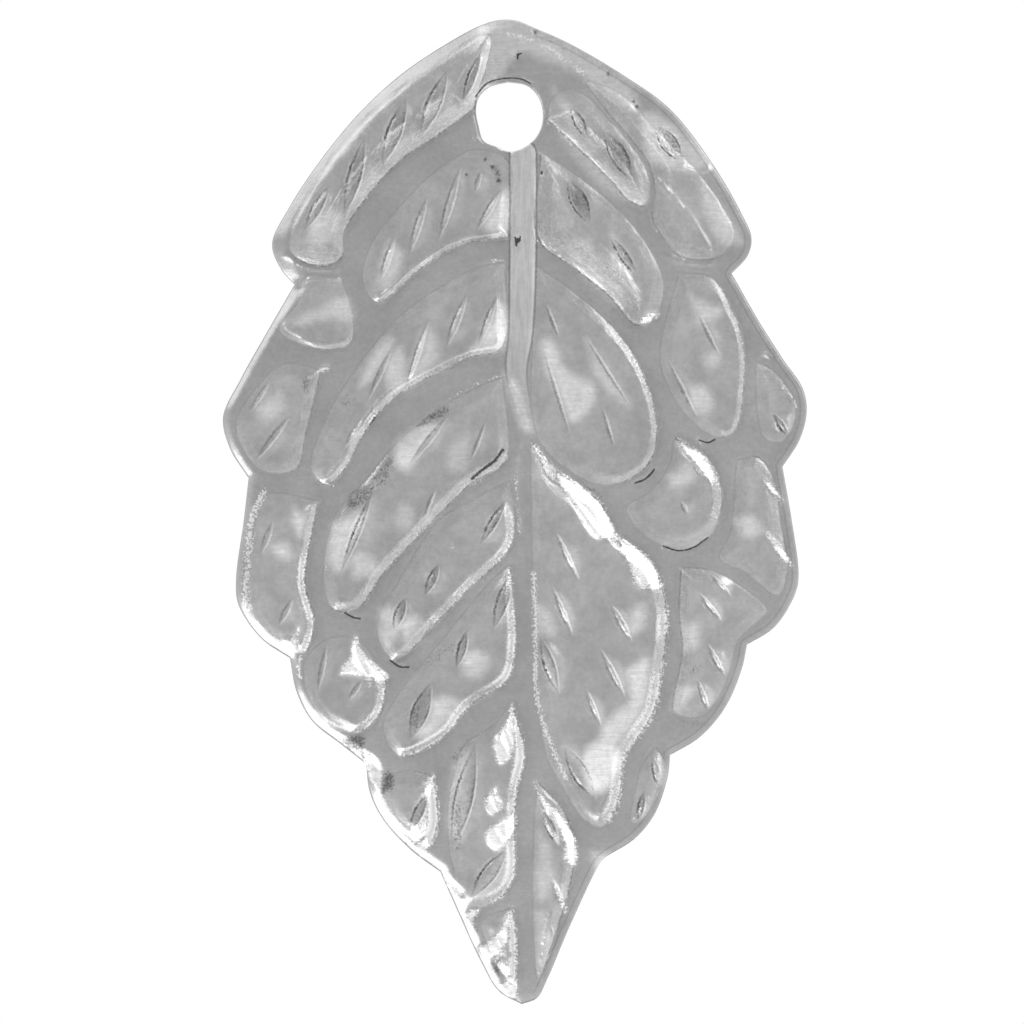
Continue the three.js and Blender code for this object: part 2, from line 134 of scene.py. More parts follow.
# The barbs: each one's upper end, lower end and width.
barbs = {
    "broad": [
        ((-6.1, -14.7), (-10.7, -2.4), 1.9), ((-13.7, -10.4), (-20, 5.2), 3.3),
        ((-22.7, -4.4), (-28.5, 11.6), 3.3), ((-32, 4.4), (-36.9, 22.7), 3.1),
        ((-39.9, 15.3), (-45.8, 25.9), 2.2), ((58.5, 65.7), (62.6, 72), 1.3),
        ((-7.4, 139), (-13, 164), 4.2), ((31.5, 141.6), (34, 150.4), 1.8),
        ((30, 149.8), (28.5, 157.1), 1.6), ((-27.4, 74.2), (-35.9, 85.3), 1.5),
        ((-30, 82.4), (-37.8, 102.4), 1.5), ((-0.7, 85.3), (-6.7, 95.7), 1.8),
        ((-15.6, 99.4), (-18.9, 106.8), 1.9), ((-23, 106.8), (-25.9, 114.6), 2.2),
        ((0.7, 100.9), (-3.7, 114.6), 2.7), ((-9.3, 113.9), (-11.9, 123.1), 1.9),
        ((-17.4, 125.7), (-22.2, 139), 3.7), ((-17.8, 149.8), (-22.6, 159.8), 2.2),
        ((-0.4, 162.7), (-8.9, 174.2), 3.3), ((-2.1, 186.1), (-3.7, 191.3), 1.9),
        ((6.7, 115.3), (11, 128.7), 2.5), ((11.9, 139.4), (19.3, 152), 3.7),
        ((7, 153.5), (11.1, 162.4), 2.1),
    ],
    "streak": [
        ((-10.7, 10.5), (-16, 28.5), 1.6), ((-18.2, 17.5), (-22.6, 31.5), 1.5),
        ((-25.4, 26.5), (-28.9, 37), 1.4), ((-9.3, 39), (-14.3, 52), 1.5),
        ((-2.6, 39.5), (-7.2, 51.8), 1.3), ((-17.8, 44.5), (-23.3, 61.5), 1.2),
        ((-1.7, 16), (-7.6, 26), 1.3),
    ],
    "fine": [
        ((55.6, 79.4), (60.7, 86.4), 1.3), ((56.7, 92), (63, 100.9), 1.6), ((10, 92), (15.6, 103.9), 1),
        ((9.3, 104.2), (14.2, 116.1), 1), ((22.2, 107.9), (27.3, 117.2), 1.3),
        ((20, 118.1), (25.9, 129.8), 1.2), ((16.7, 126.8), (20.4, 136.1), 1),
        ((44.4, 101.6), (49.3, 106.8), 0.9), ((41.9, 105.7), (47.4, 112.7), 0.9),
        ((43.7, 116.8), (48.1, 125), 1), ((41.5, 124.6), (44.6, 133.5), 1),
        ((8.9, 168.7), (12.6, 177.6), 1.2), ((8.9, 179.4), (10.4, 184.6), 0.7),
    ],
    "faint": [
        ((15.9, 47.6), (27.4, 65.7), 0.6), ((7, 50.5), (13.7, 72), 0.6), ((20.4, 64.2), (23.3, 74.2), 0.6),
        ((7.8, 41.3), (11.1, 49.8), 0.6), ((41.5, 43.1), (47, 54.2), 0.7),
        ((34.8, 53.5), (42.2, 68.3), 0.7), ((61.5, 60.9), (63.9, 65.7), 0.9),
        ((37.8, 85.3), (39.6, 88.7), 0.9), ((40.7, 77.2), (42.7, 80.3), 0.9),
        ((-6.3, 12), (-7.8, 17.2), 0.9), ((-25.9, 50.9), (-31.9, 63.9), 1),
        ((-32.6, 66.8), (-37, 74.2), 0.9), ((-53.3, 58.7), (-58.1, 66.1), 1),
        ((-48.5, 66.1), (-57, 77.2), 1.2), ((-13.3, 66.1), (-22.6, 77.9), 1.2),
        ((-16.3, 82.4), (-19.3, 89.8), 0.7), ((-5.2, 67.6), (-8.9, 77.2), 0.7),
        ((-52.6, 89.8), (-55.6, 97.9), 1.2), ((-48.1, 106.8), (-51.5, 113.5), 1.2),
        ((-40.7, 117.2), (-42.8, 128.3), 1), ((-32.6, 125), (-36.1, 130.1), 1),
    ],
    "cut": [
        ((13.7, -2.1), (17.4, 5), 1.6), ((21.1, 3.1), (27.4, 14.2), 3.1), ((32.6, 2), (38.5, 10.1), 3.1),
        ((13, 13.9), (17.9, 23.9), 3.1), ((22.6, 26.8), (28.3, 35.3), 1.3),
    ],
}

# Fuzzy lines of beads with a painted highlight: how bright and how wide each is, and where it runs.
trims = [
    (0.5, 0.35, [(-4.4, 32.4), (-1.2, 32)]),
    (0.5, 0.35, [(-13.3, 62.7), (-7, 59.4), (-1, 57.4)]),
    (0.8, 0.3, [(60.7, 60.4), (63, 63), (63.8, 65.5)]),
    (0.6, 0.35, [(27.6, 156.5), (29.4, 152.8)]),
    (0.5, 0.8, [(-1, -18.5), (6, -16.5), (13, -12), (17, -9)]),
    (0.62, 1.4, [(-54.9, 83.8), (-56.9, 88), (-58, 94.2), (-58.7, 102), (-58.9, 105.8), (-58.2, 109.8)]),
    (0.8, 0.4, [(-46.7, 120.2), (-47.1, 123.8), (-46.2, 125.3)]),
    (0.6, 1, [(5.3, 101.6), (5.6, 113.5), (5.9, 128.3), (8.1, 137.2), (12.6, 147.6)]),
    (0.35, 0.6, [(-6.7, 137.2), (-10.4, 140.9), (-12.7, 147.6), (-13.3, 156.4)]),
    (0.35, 0.5, [(-25.9, 74.2), (-31.1, 80.1), (-36.3, 86.8), (-40, 95), (-40.9, 101.6)]),
    (0.45, 0.4, [(-43.3, 80.5), (-41.1, 81.6), (-38.5, 82.2)]),
    (0.4, 0.5, [(1.1, 78.7), (1.6, 86.8), (2.2, 93.5)]),
    (0.5, 0.4, [(9.3, 0.9), (11.1, 3.5), (14.8, 6.4)]),
    (0.5, 0.4, [(27.4, 19), (29.6, 19.4), (30.4, 18.3)]),
    (0.6, 0.4, [(5.9, 27.6), (8.9, 29.4), (12.6, 32.7)]),
    (0.6, 0.45, [(-12.6, 95.7), (-12.1, 97.9), (-9.6, 97.6)]),
    (0.5, 0.5, [(-8.9, 6.1), (-7.4, 4.6), (-6.5, 5.7)]),
]

# Short cracks where the die bit in, most of them under a leaflet's tip, each with its width in millimetres.
nicks = [
    (0.03, [(-36.7, 110.4), (-35, 111.4), (-32.9, 111.8)]),
    (0.03, [(-26.6, 121), (-24.4, 122.4), (-22, 122.4)]),
    (0.03, [(27.8, 81.6), (30.2, 80.6), (32.4, 78.2)]),
    (0.025, [(42, 72), (44, 72.6), (46, 71.6)]),
    (0.025, [(34, 95.6), (37.5, 96.6), (40.5, 96), (44.4, 93.4)]),
    (0.045, [(-1.6, 74.2), (-3.6, 76.8), (-5, 77.8), (-8.9, 80.9)]),
    (0.022, [(1.6, -13.7), (1.7, -12.1)]),
    (0.022, [(1.6, -13.7), (3, -14)]),
    (0.03, [(1.1, 27), (1.5, 29.4)]),
    (0.022, [(2.3, 26.8), (2.2, 28.2)]),
    (0.022, [(-30, 67), (-31.5, 69)]),
    (0.03, [(7.1, 12.4), (6.8, 13.6)]),
    (0.022, [(-7.7, -4.3), (-5.2, -7.2), (-0.6, -8.4), (3, -8), (5, -6.9)]),
]

# Small pits, with their size across in millimetres.
pits = [
    ((-5.6, 9.8), 0.07), ((-4, 11.4), 0.1), ((-2.9, 12.8), 0.07), ((-2.6, 14.4), 0.09),
    ((-9.8, 13.1), 0.06), ((5.6, -18.5), 0.09), ((12, -15.2), 0.05), ((21.8, -9.1), 0.08),
    ((28.1, -2), 0.1), ((27.4, -3.2), 0.06), ((-0.2, -10), 0.05), ((1, -9.4), 0.04), ((-6.8, -8.2), 0.05),
    ((4.8, -14), 0.06), ((-1, -12.5), 0.05), ((1.4, -13.2), 0.05),
]

# The side that each leaflet laps over its neighbour with: the way it faces, to the right and up, how far it
# rises and how wide its slope is, in millimetres, and its crest's wear and painted highlight, over which
# width.
laps = {
    "leftOuter1": ((0.35, -0.94), 0.1, 0.34, 0.12, 0.3),
    "leftOuter2": ((0.6, -0.8), 0.022, 0.22, 0, 0.08),
    "leftOuter3": ((0.8, -0.3), 0.035, 0.2, 0, 0.1),
    "leftOuter4": ((0.95, 0.1), 0.1, 0.16, 0.8, 0.13),
    "leftOuter5": ((0.8, -0.6), 0.11, 0.17, 0.5, 0.14),
    "leftOuter6": ((0.95, 0.2), 0.12, 0.2, 0.95, 0.22),
    "leftInner1": ((0.33, -0.94), 0.08, 0.11, 0.5, 0.07),
    "leftInner2": ((0.33, -0.94), 0.09, 0.14, 0.4, 0.1),
    "leftInner3": ((0.33, -0.94), 0.09, 0.2, 0.2, 0.2),
    "leftInner4": ((0.5, -0.87), 0.1, 0.18, 0.38, 0.15),
    "leftInner5": ((0.65, -0.76), 0.11, 0.17, 0.6, 0.17),
    "leftInner6": ((1, -0.1), 0.13, 0.19, 0.85, 0.19),
    "leftInner7": ((1, -0.1), 0.12, 0.17, 0.9, 0.18),
    "rightOuter1": ((-0.6, -0.8), 0.07, 0.36, 0.04, 0.3),
    "rightOuter2": ((-0.5, -0.87), 0.022, 0.3, 0, 0.12),
    "rightOuter3": ((0.9, -0.4), 0.045, 0.12, 0.18, 0.08),
    "rightOuter4": ((1, 0.4), 0.012, 0.15, 0, 0.1),
    "rightOuter5": ((0.75, 0.66), 0.11, 0.2, 0.45, 0.14),
    "rightOuter6": ((0.7, 0.6), 0.03, 0.24, 0, 0.1),
    "rightOuter7": ((-0.7, 0.6), 0.035, 0.16, 0.1, 0.1),
    "rightOuter8": ((0.9, 0.3), 0.03, 0.16, 0, 0.12),
    "rightInner1": ((-0.6, -0.8), 0.075, 0.36, 0.06, 0.3),
    "rightInner2": ((0.95, -0.3), 0.055, 0.14, 0.25, 0.12),
    "rightInner3": ((0.95, 0.3), 0.12, 0.22, 0.55, 0.24),
    "rightInner4": ((0.9, 0.4), 0.08, 0.2, 0.08, 0.2),
}

# Fine raised lines.
ridges = [
    [(38, 11.4), (41.4, 12.4), (44.6, 11.8)],
    [(32.4, 13.8), (37.8, 20.1), (41.9, 25.3), (44.8, 31)],
    [(-50, 30.8), (-45, 33.6), (-38, 34.4)],
    [(35.4, 31.4), (40, 32.6), (45.6, 32.8)],
    [(-47.6, 37.4), (-43.4, 36), (-37.8, 36.2)],
    [(1.8, 72), (0.9, 81), (2, 92)],
    [(-0.4, 58.6), (1.8, 64), (3.8, 69.6)],
    [(-50, 46.6), (-43, 50.6), (-36, 50)],
]

# Facets that the die left, tilted flat and painted with a highlight, each with how bright it is.
facets = [
    (0.8, [(-43.9, 57), (-40.4, 55.3), (-40.9, 57)]),
    (0.8, [(-50.5, 116.3), (-48.5, 115.6), (-47, 113.9), (-47.4, 118.1)]),
    (1, [(-34.4, 115.3), (-33, 118.7), (-29.6, 122.4), (-27, 125), (-29.3, 125.2), (-30.5, 124.7),
        (-31.1, 127.4), (-31.9, 125), (-33.7, 124.2), (-37.8, 123.7), (-35.9, 120.5)]),
    (1, [(-17.6, 147.6), (-18.9, 149.2), (-19.9, 151.3), (-18.7, 151.3), (-17.3, 149.2)]),
    (0.9, [(-23.7, 160.1), (-21.9, 161.3), (-20, 161.3), (-18.5, 159.8), (-18.9, 165), (-21.5, 162.7)]),
    (1, [(0.6, 132.4), (-1.5, 135.7), (-3.3, 138.7), (-3.7, 139.4), (-2.2, 143.9), (0, 142.5),
        (0.9, 137.2)]),
    (0.9, [(-3.3, 149.2), (-5.6, 152), (-3.7, 155), (-1.9, 153.9), (-2.8, 151.3)]),
    (1, [(1.1, 154.6), (-2.2, 156.8), (-5.2, 159), (-4.4, 162), (-2.6, 162.7), (-0.4, 160.9), (1.1, 159)]),
    (1, [(-0.1, 177.2), (-2.2, 180.9), (-5, 183.9), (-7, 185.2), (-4.4, 187.2), (-1.5, 185),
        (-0.4, 181.6)]),
    (1, [(-2.2, 193.1), (0.4, 191.3), (1.6, 194.2), (1.1, 196.1), (-0.7, 195.7)]),
    (0.9, [(-15.4, 168.3), (-13.3, 169.8), (-10.4, 172.7), (-11.1, 173.6), (-13.3, 172)]),
    (0.9, [(-10.4, 177.2), (-8.5, 176.3), (-6.7, 176.6), (-7.8, 178.7), (-8.3, 180.9), (-9.3, 179.4)]),
    (0.75, [(28.9, 45), (32.6, 43.5), (33.3, 44.2), (29.6, 46.4)]),
    (0.6, [(55.2, 53.5), (57, 52.6), (58.5, 53.9)]),
    (0.95, [(37, 72), (39.3, 73.5), (42.2, 75.1), (44.4, 78.3), (45.6, 81.3), (44.1, 80.9), (42.2, 78.3),
        (39.6, 75.7)]),
    (0.8, [(55.6, 79.6), (57.8, 80.9), (60.6, 86.1), (58.9, 84.6), (57, 82.4)]),
    (0.8, [(56.7, 92.1), (59.6, 94.2), (63, 100.7), (60.4, 98.8), (57.9, 95.3)]),
    (1, [(10, 79), (13.7, 81), (17.2, 83.1), (20, 86.4), (22.2, 89.8), (23.3, 93.1), (19.3, 93.6),
        (17.2, 91.6), (14.4, 86.8), (11.9, 83.1)]),
    (1, [(23.9, 93.5), (27, 95.3), (30.4, 97.9), (32.7, 101.6), (33.3, 105), (30.4, 104.6), (27.8, 101.6),
        (25.6, 97.9)]),
    (0.95, [(26.3, 100.1), (29.6, 102.4), (30.4, 105), (28.5, 104.6)]),
    (1, [(5.2, 147.7), (7, 151.3), (10.4, 154.2), (13, 157.6), (14.7, 161.6), (14.2, 166.8), (12.6, 165.3),
        (12, 161.3), (10.4, 157.6), (7.4, 153.9)]),
    (0.9, [(8.9, 168.9), (10.7, 171.3), (12.6, 177.3), (11.1, 175)]),
    (0.95, [(-32.9, 141.3), (-30.4, 142.4), (-28.4, 146), (-29, 150.4), (-31, 147.6)]),
]

# Soft places painted with a sheen, each with how bright it is.
paintedSheenPatches = [
    (0.5, [(18.1, 163.5), (20.4, 164), (22.4, 164.3), (19.4, 167.7)]),
    (1, [(17, 140.5), (20.5, 138.5), (23.7, 140), (23.4, 146), (20.2, 150), (17.8, 149.5), (15.8, 143.5)]),
    (0.7, [(-48, 87.2), (-46, 89.8), (-46.7, 93.5), (-48.1, 90.6)]),
    (0.7, [(-52.8, 95.7), (-49.9, 95), (-48.7, 97.9), (-51.1, 98.3)]),
    (0.35, [(-45.9, 28.3), (-43, 22.4), (-39.3, 20.1), (-37.8, 23.9), (-40.7, 28.3), (-43.7, 29.8)]),
    (0.2, [(-15.6, -9.5), (-12.6, -5.8), (-14.1, 0.1), (-17, 1.6)]),
    (0.35, [(-7.8, -21.3), (-3.7, -19.9), (-0.7, -14.7), (-1.5, -9.5), (-6.7, -4.3), (-12.6, 0.9),
        (-8.1, -5.8), (-5.2, -12.4)]),
    (0.45, [(-29.6, 37.2), (-28.1, 31.3), (-26.3, 28.3), (-23.7, 31.3), (-25.2, 35.7), (-28.1, 38.7)]),
    (0.5, [(-5.6, 23.1), (-0.7, 16.4), (0.1, 25), (-5.2, 25.5)]),
    (0.4, [(-49.6, 46.1), (-43.7, 43.5), (-36.3, 40.5), (-35.2, 45.3), (-39.3, 45), (-45.9, 46.4)]),
    (0.55, [(-33.3, 60.1), (-31.1, 54.2), (-27.4, 49.8), (-25.9, 49.8), (-29.6, 56.4), (-31.9, 59.4)]),
    (0.55, [(-27.4, 55), (-24.4, 51.3), (-23.3, 56.4), (-23.7, 60.9), (-27.4, 60.1)]),
    (0.6, [(-6.7, 49.8), (-3, 43.9), (-1.1, 42.4), (-1, 51.9), (-5.2, 52.7), (-8.5, 52.4)]),
    (0.4, [(-20, 48.3), (-18.1, 46.8), (-15.6, 52.7), (-20, 57.9), (-23, 60.9)]),
    (0.6, [(-24.8, 72), (-18.5, 68.3), (-16.3, 68.7), (-20, 74.2), (-22.2, 78.7), (-25.6, 77.2)]),
    (0.6, [(-39.3, 90.5), (-31.9, 88.3), (-34.8, 95), (-37.8, 101.6), (-40, 97.9)]),
    (0.5, [(-34.8, 97.9), (-31.9, 97.2), (-29.6, 100.1), (-31.9, 102.4), (-34.8, 102.4)]),
    (0.3, [(-14.1, 73.5), (-9.6, 71.3), (-9.6, 78.7), (-13.3, 78.7)]),
    (0.35, [(-24.4, 86.1), (-21.5, 87.6), (-22.2, 92), (-25.2, 90.5)]),
    (0.35, [(-56.3, 65.3), (-51.1, 61.6), (-50.4, 65.3), (-54.8, 67.6)]),
    (0.5, [(-28.9, 109.8), (-26.7, 109), (-24.4, 113.5), (-27.4, 117.9), (-28.9, 114.2)]),
    (0.5, [(-23.3, 111.3), (-20.7, 110.9), (-20, 112.7), (-23.7, 116.4), (-24.4, 115)]),
    (0.5, [(-10.4, 119.4), (-6.7, 118.7), (-4.8, 121.6), (-7.4, 124.6), (-10, 123.9)]),
    (0.6, [(-17.8, 129.8), (-14.1, 129), (-11.1, 130.5), (-14.8, 135), (-18.5, 138.7), (-20.7, 137.2),
        (-17.8, 133.5)]),
    (0.3, [(9.6, -6.5), (13.3, -2.1), (17, 3.9), (19.3, 6.8), (15.6, 4.6), (11.9, -0.6)]),
    (0.35, [(9.3, 1.3), (13.3, 3.9), (20, 10.5), (30.4, 18.7), (28.9, 19.8), (22.2, 17.2), (14.8, 9.8)]),
    (0.25, [(12.6, 27.6), (17, 28.3), (20, 32.7), (25.9, 39.4), (23, 41.6), (15.6, 35)]),
    (0.4, [(22.6, 26.1), (25.2, 29.8), (27.4, 35), (23.7, 33.5)]),
    (0.4, [(43, 16.4), (46.7, 19.4), (50.4, 24.6), (51.9, 28.3), (46.7, 27.6), (43.7, 22.4)]),
    (0.4, [(-4.4, -21.3), (0, -22.4), (6.7, -19.1), (14.8, -14.7), (22.2, -9.5), (27.4, -5), (28.9, -0.6),
        (25.2, -2.1), (16.3, -8.7), (8.1, -12.4), (2.2, -13.9), (-2.2, -9.5), (-5.9, -9.5)]),
    (0.5, [(28.9, -0.7), (33.3, 0.1), (40, 5.3), (44.4, 11.3), (37.8, 12), (31, 9)]),
    (0.55, [(7, 49.8), (8.9, 49.8), (11.9, 55.7), (16.3, 58.7), (18.5, 60.1), (17.4, 65.3), (13.7, 67.9),
        (11.9, 63.9), (7.4, 55)]),
    (0.4, [(17, 49.8), (20.7, 55.7), (26.7, 64.6), (23, 62.4), (19.3, 57.9)]),
    (0.4, [(40, 40.1), (43.7, 41.6), (47.4, 43.1), (45.2, 45.3), (42.2, 46.1)]),
    (0.5, [(40, 60.1), (43, 60.1), (45.2, 63.1), (43.7, 66.1), (40.7, 64.6)]),
    (0.4, [(43, 53.5), (45.9, 52.4), (46.7, 54.6), (43.7, 56.1)]),
    (0.5, [(-1.1, 57.2), (1.1, 57.9), (3.7, 64.6), (5.2, 70.1), (3, 69.8), (0.4, 63.1)]),
    (0.45, [(34.8, 80.1), (39.3, 77.2), (41.5, 80.1), (39.3, 81.6), (35.6, 82.4)]),
    (0.45, [(49.6, 89.8), (53.3, 89), (56.3, 92), (52.6, 93.5)]),
    (0.8, [(25.9, 123.1), (30.4, 120.9), (30.7, 123.9), (29.6, 131.3), (26.7, 135.7), (23.7, 140.1),
        (22.6, 147.6), (19.3, 150.1), (18.5, 146.8), (15.9, 142.4), (18.5, 142.7), (20.7, 135.7),
        (23.7, 132.7), (26.7, 129.8)]),
    (0.55, [(26.7, 109.8), (29.6, 108.3), (30, 112), (27.4, 115)]),
    (0.45, [(5.6, 108.3), (8.9, 110.5), (9.6, 115), (6.7, 114.6)]),
    (0.4, [(7.8, 120.1), (10, 123.1), (10.4, 127.6), (8.1, 123.9)]),
    (0.45, [(11.9, 140.1), (14.8, 140.1), (17.8, 146.1), (18.9, 150.5), (15.6, 146.8)]),
    (0.4, [(37, 126.8), (40.7, 126.8), (38.5, 131.3), (35.9, 132)]),
    (0.4, [(38.5, 113.5), (41.5, 112.7), (41.5, 117.9), (38.9, 118.7)]),
    (0.5, [(32.6, 142.4), (34.4, 146.1), (33.3, 148.3), (31.9, 144.6)]),
    (0.35, [(6.3, 159.4), (8.9, 162.4), (9.3, 171.3), (6.7, 174.2)]),
    (0.35, [(5.9, 177.2), (8.1, 177.9), (8.9, 184.6), (6.7, 189)]),
    (0.4, [(-9.6, 174.2), (-0.7, 163.1), (0, 168.3), (-5.9, 173.5)]),
    (0.4, [(-12.6, 144.6), (-9.6, 140.9), (-9.3, 152), (-11.1, 160.9), (-13.3, 159.4)]),
]

# Dark speckled places, painted shade and tarnish, each with how dark it is.
paintedShadeAndTarnishPatches = [
    (0.9, [(22.9, 93.3), (24.4, 93.8), (25.5, 96), (23.8, 95.8)]),
    (0.8, [(13.2, 80.4), (17, 81.6), (20.4, 84.4), (20, 85), (16, 82.6)]),
    (0.9, [(-21.5, 69), (-18.5, 66.4), (-14.1, 64.2), (-13.3, 65.7), (-17, 68.3), (-20, 69.4)]),
    (0.8, [(-31.9, 80.9), (-25.9, 75), (-25.9, 77.2), (-28.9, 83.1), (-31.1, 83.1)]),
    (0.9, [(-37, 86.8), (-34.8, 83.1), (-29.6, 81.6), (-31.9, 86.1), (-35.6, 87.6)]),
    (0.6, [(-38.1, 63.1), (-36.3, 61.6), (-34.8, 63.9), (-36.7, 65.3)]),
    (0.9, [(-46.3, 58.3), (-45, 58.1), (-44.6, 61.6), (-45.9, 61.3)]),
    (1.2, [(-37.8, 138.3), (-32.6, 137.6), (-32.2, 139.4), (-33.7, 141.3), (-36.7, 140.1)]),
    (1.2, [(-28.5, 146.1), (-25.9, 145.7), (-26.3, 149.8), (-28.5, 150.5)]),
    (0.55, [(-18.5, 120.1), (-11.1, 116.1), (-11.1, 118.3), (-17.8, 122.4), (-23.7, 126.8)]),
    (0.7, [(-13.3, 142.4), (-8.9, 137.9), (-5.9, 136.8), (-8.9, 140.1), (-11.9, 144.6)]),
    (0.7, [(-13.7, 155), (-11.1, 152), (-10.4, 160.9), (-11.9, 163.9)]),
    (0.7, [(-22.2, 132.7), (-20.7, 129.8), (-20, 135.7), (-21.5, 137.9)]),
    (0.6, [(-17.8, 100.9), (-15.9, 100.1), (-16.7, 104.6), (-18.1, 105.3)]),
    (1, [(-8.1, 179), (-7.3, 180.1), (-7.3, 182.4), (-8.3, 181.6)]),
    (0.9, [(-4.1, 186.1), (-1.9, 186.1), (-2.2, 190.9), (-3.7, 190.5)]),
    (0.7, [(35.9, 132.4), (38.5, 133.9), (44.4, 134.6), (41.5, 135.3), (37, 134.2)]),
    (0.7, [(39.3, 122.7), (43, 121.6), (43.3, 122.4), (40, 124.2)]),
    (0.6, [(33, 2.4), (35.6, 3.1), (38.5, 8.3), (38.1, 9.8), (34.8, 6.8)]),
    (0.5, [(1.5, -13.9), (4.1, -13.9), (3.7, -12.8), (2.2, -11.7)]),
    (1, [(-5.6, 11.3), (-3, 10.9), (-1.9, 14.2), (-3, 14.6), (-4.1, 12)]),
]

# The relief, in millimetres.
relief = {
    "lowRise": 0.02,  # a leaflet's rise along its other sides
    "lowWidth": 0.24,
    "lapFacing": 0.3,  # a side starts to lap over where it faces the lap's way this much
    "lapGrowth": 0.45,
    "lapMiddle": 0.45,
    "fullLapRise": 0.06,  # a lower lap only counts in part
    "leafletReach": 0.5,  # round its foot
    "creaseRadius": 0.025,
    "lipRise": 0.012,  # the crest of a steep lap stands up as a thin lip
    "lipWidth": 0.045,
    "lipFrom": 0.2,  # the steepness at which a lap starts to have a lip
    "lipGrowth": 0.3,
    "lipElsewhere": 0.1,  # of its height, on the sides that don't lap over
    "dishShare": 0.12,  # the face behind the crest sinks, deeper behind a wide slope
    "dishWidths": (0.2, 1.2),
    # The crest's wear also paints its highlight.
    "wearLevel": 0.8,  # a crest's wear comes and goes along it
    "wearWave": 1.5,
    "wearRange": (0.2, 1.4),
    "seamDepth": 0.02,  # a fine seam runs round every leaflet's foot
    "seamWidth": 0.028,
    "seamOutside": 0.01,
    "midribRise": 0.02,  # at the hole, from where it narrows and sinks to nothing
    "midribWidth": 0.6,
    "midribEndShare": 0.45,  # of its width
    "midribSlope": 0.08,
    "ridgeRise": 0.025,
    "ridgeWidth": 0.05,
    "facetDepth": 0.015,
    "facetTilt": 0.32,  # facets lean to the upper right
    "facetWay": (0.75, 0.66),
    "facetReach": 0.04,  # no facet moves the face by more than this
    "facetSoftness": 0.12,
    "sheenSoftness": 0.3,
    "tarnishSoftness": 0.2,
    "jag": 0.014,  # edges waver by this much
    "nickDepth": 0.02,
    "nickWidth": 0.03,
    "nickSteepness": 1.5,
    "pitShare": 0.2,  # a pit's depth, in its sizes
    "pitJag": 0.02,
    "crownRise": 0.115,  # the whole sheet is a little fuller towards its middle
    # the edge is pressed down
    "rimWidth": {"upperLeft": 0.3, "left": 0.15, "lowerLeft": 0.2, "right": 0.14},
    "rimDepth": {"upperLeft": 0.12, "left": 0.085, "lowerLeft": 0.105, "right": 0.02},
    "rimUpperFrom": -4.6,  # Z above which the rim turns to its upper form, and below which to its lower one
    "rimLowerFrom": -12.6,
    "rimRightFrom": -1,  # X from which it turns to its form on the right, and how soon it does
    "rimRightGrowth": 2,
    "rimSoftness": (0.25, 0.1),  # in rim widths, on the left and on the right
    "rimCrispFrom": 1,
    "rimLineFrom": 0.5,
    "holeRollWidth": 0.1,
    "holeRollDepth": 0.025,
    "swells": ((1.1, 0.018), (0.45, 0.007)),  # soft unevenness of the pressed faces: sizes and heights
    "swellSeed": 3.1,
    "hollowInset": 0.1,
    "hollowWidth": 0.24,
    "hollowDepth": 0.14,
}

# The sizes of the waves in millimetres, and their seeds.
waves = {"foot": (0.09, 5.7), "barb": (0.06, 7), "wear": (0.5, 4.4), "seam": (0.5, 9.3), "pit": (0.05, 2.2)}

# How each kind of barb is shaped, in millimetres: its rise, the crack down its steep side and the width of
# its other flank. Then the painted shade of its crack, the painted highlight of its ridge, the painted shade
# of its face and the painted sheen of its flank. A barb with a negative rise is pressed in, and a face with
# negative shade gets a painted highlight.
barbKinds = {
    "broad": {"rise": 0.04, "crack": 0.03, "fade": 0.35,
              "dark": 0.9, "bright": 0.6, "paintedFaceShade": 0.6, "paintedFlankSheen": 0.12},
    "streak": {"rise": 0.03, "crack": 0.015, "fade": 0.3,
               "dark": 0.6, "bright": 0.6, "paintedFaceShade": -0.35, "paintedFlankSheen": 0.12},
    "fine": {"rise": 0.035, "crack": 0.02, "fade": 0.25,
             "dark": 0.5, "bright": 1, "paintedFaceShade": 0, "paintedFlankSheen": 0.35},
    "faint": {"rise": 0.015, "crack": 0.01, "fade": 0.25,
              "dark": 0.5, "bright": 0.5, "paintedFaceShade": 0.1, "paintedFlankSheen": 0.12},
    "cut": {"rise": -0.03, "crack": 0.01, "fade": 0.05,
            "dark": 0.8, "bright": 0.1, "paintedFaceShade": 1.2, "paintedFlankSheen": 0},
}

# What all barbs share, in millimetres.
barbForm = {
    "taper": 1.1,  # the power of the sine by which a barb narrows to its ends
    "sideWidth": 0.05,
    "sideRadius": 0.01,
    "crackAside": 0.01,
    "crackWidth": 0.02,
    "lowShare": 0.4,  # of its rise, at its steep side
    "reach": 0.12,
    "footGap": 0.02,  # a raised barb stays this far inside its leaflet's foot
    "footGrowth": 0.12,
}

# How finely the surface is followed, in millimetres.
mesh = {
    "curveSteps": 24,
    "edgeStep": 0.07,
    "rowStep": 0.06,
    "markStep": 0.05,
    "fineSpacing": 0.055,
    "floorSpacing": 0.11,
    "backSpacing": 0.12,
    "fineReach": 0.15,  # the fine points reach this far out from a foot
    "fineInside": 0.25,  # and this much further in
    "fineBesideBarb": 0.2,
    "fineRoundFacet": 0.1,
    "room": 0.034,  # points stay this far apart
    "gridRoom": 0.6,  # in steps of the edge
    "footInsets": (0.04, 0.1, 0.15, -0.045),
    "rimInsets": (0.04, 0.085, 0.15, 0.22, 0.3),
    "holeInsets": (0.05, 0.1),
    "facetInsets": (-0.03, 0.03),
    "barbLeft": (-0.06, -0.02, 0.03),  # from a barb's left side
    "barbRight": (-0.03, 0.03),  # from its right side
}

farAway = 0.7  # no point looks further than this for a line
farBands = 4.0  # nor this many worn bands for a crest
tiny = 1e-6
hairbreadth = 1e-9  # distances that differ by less count as equal


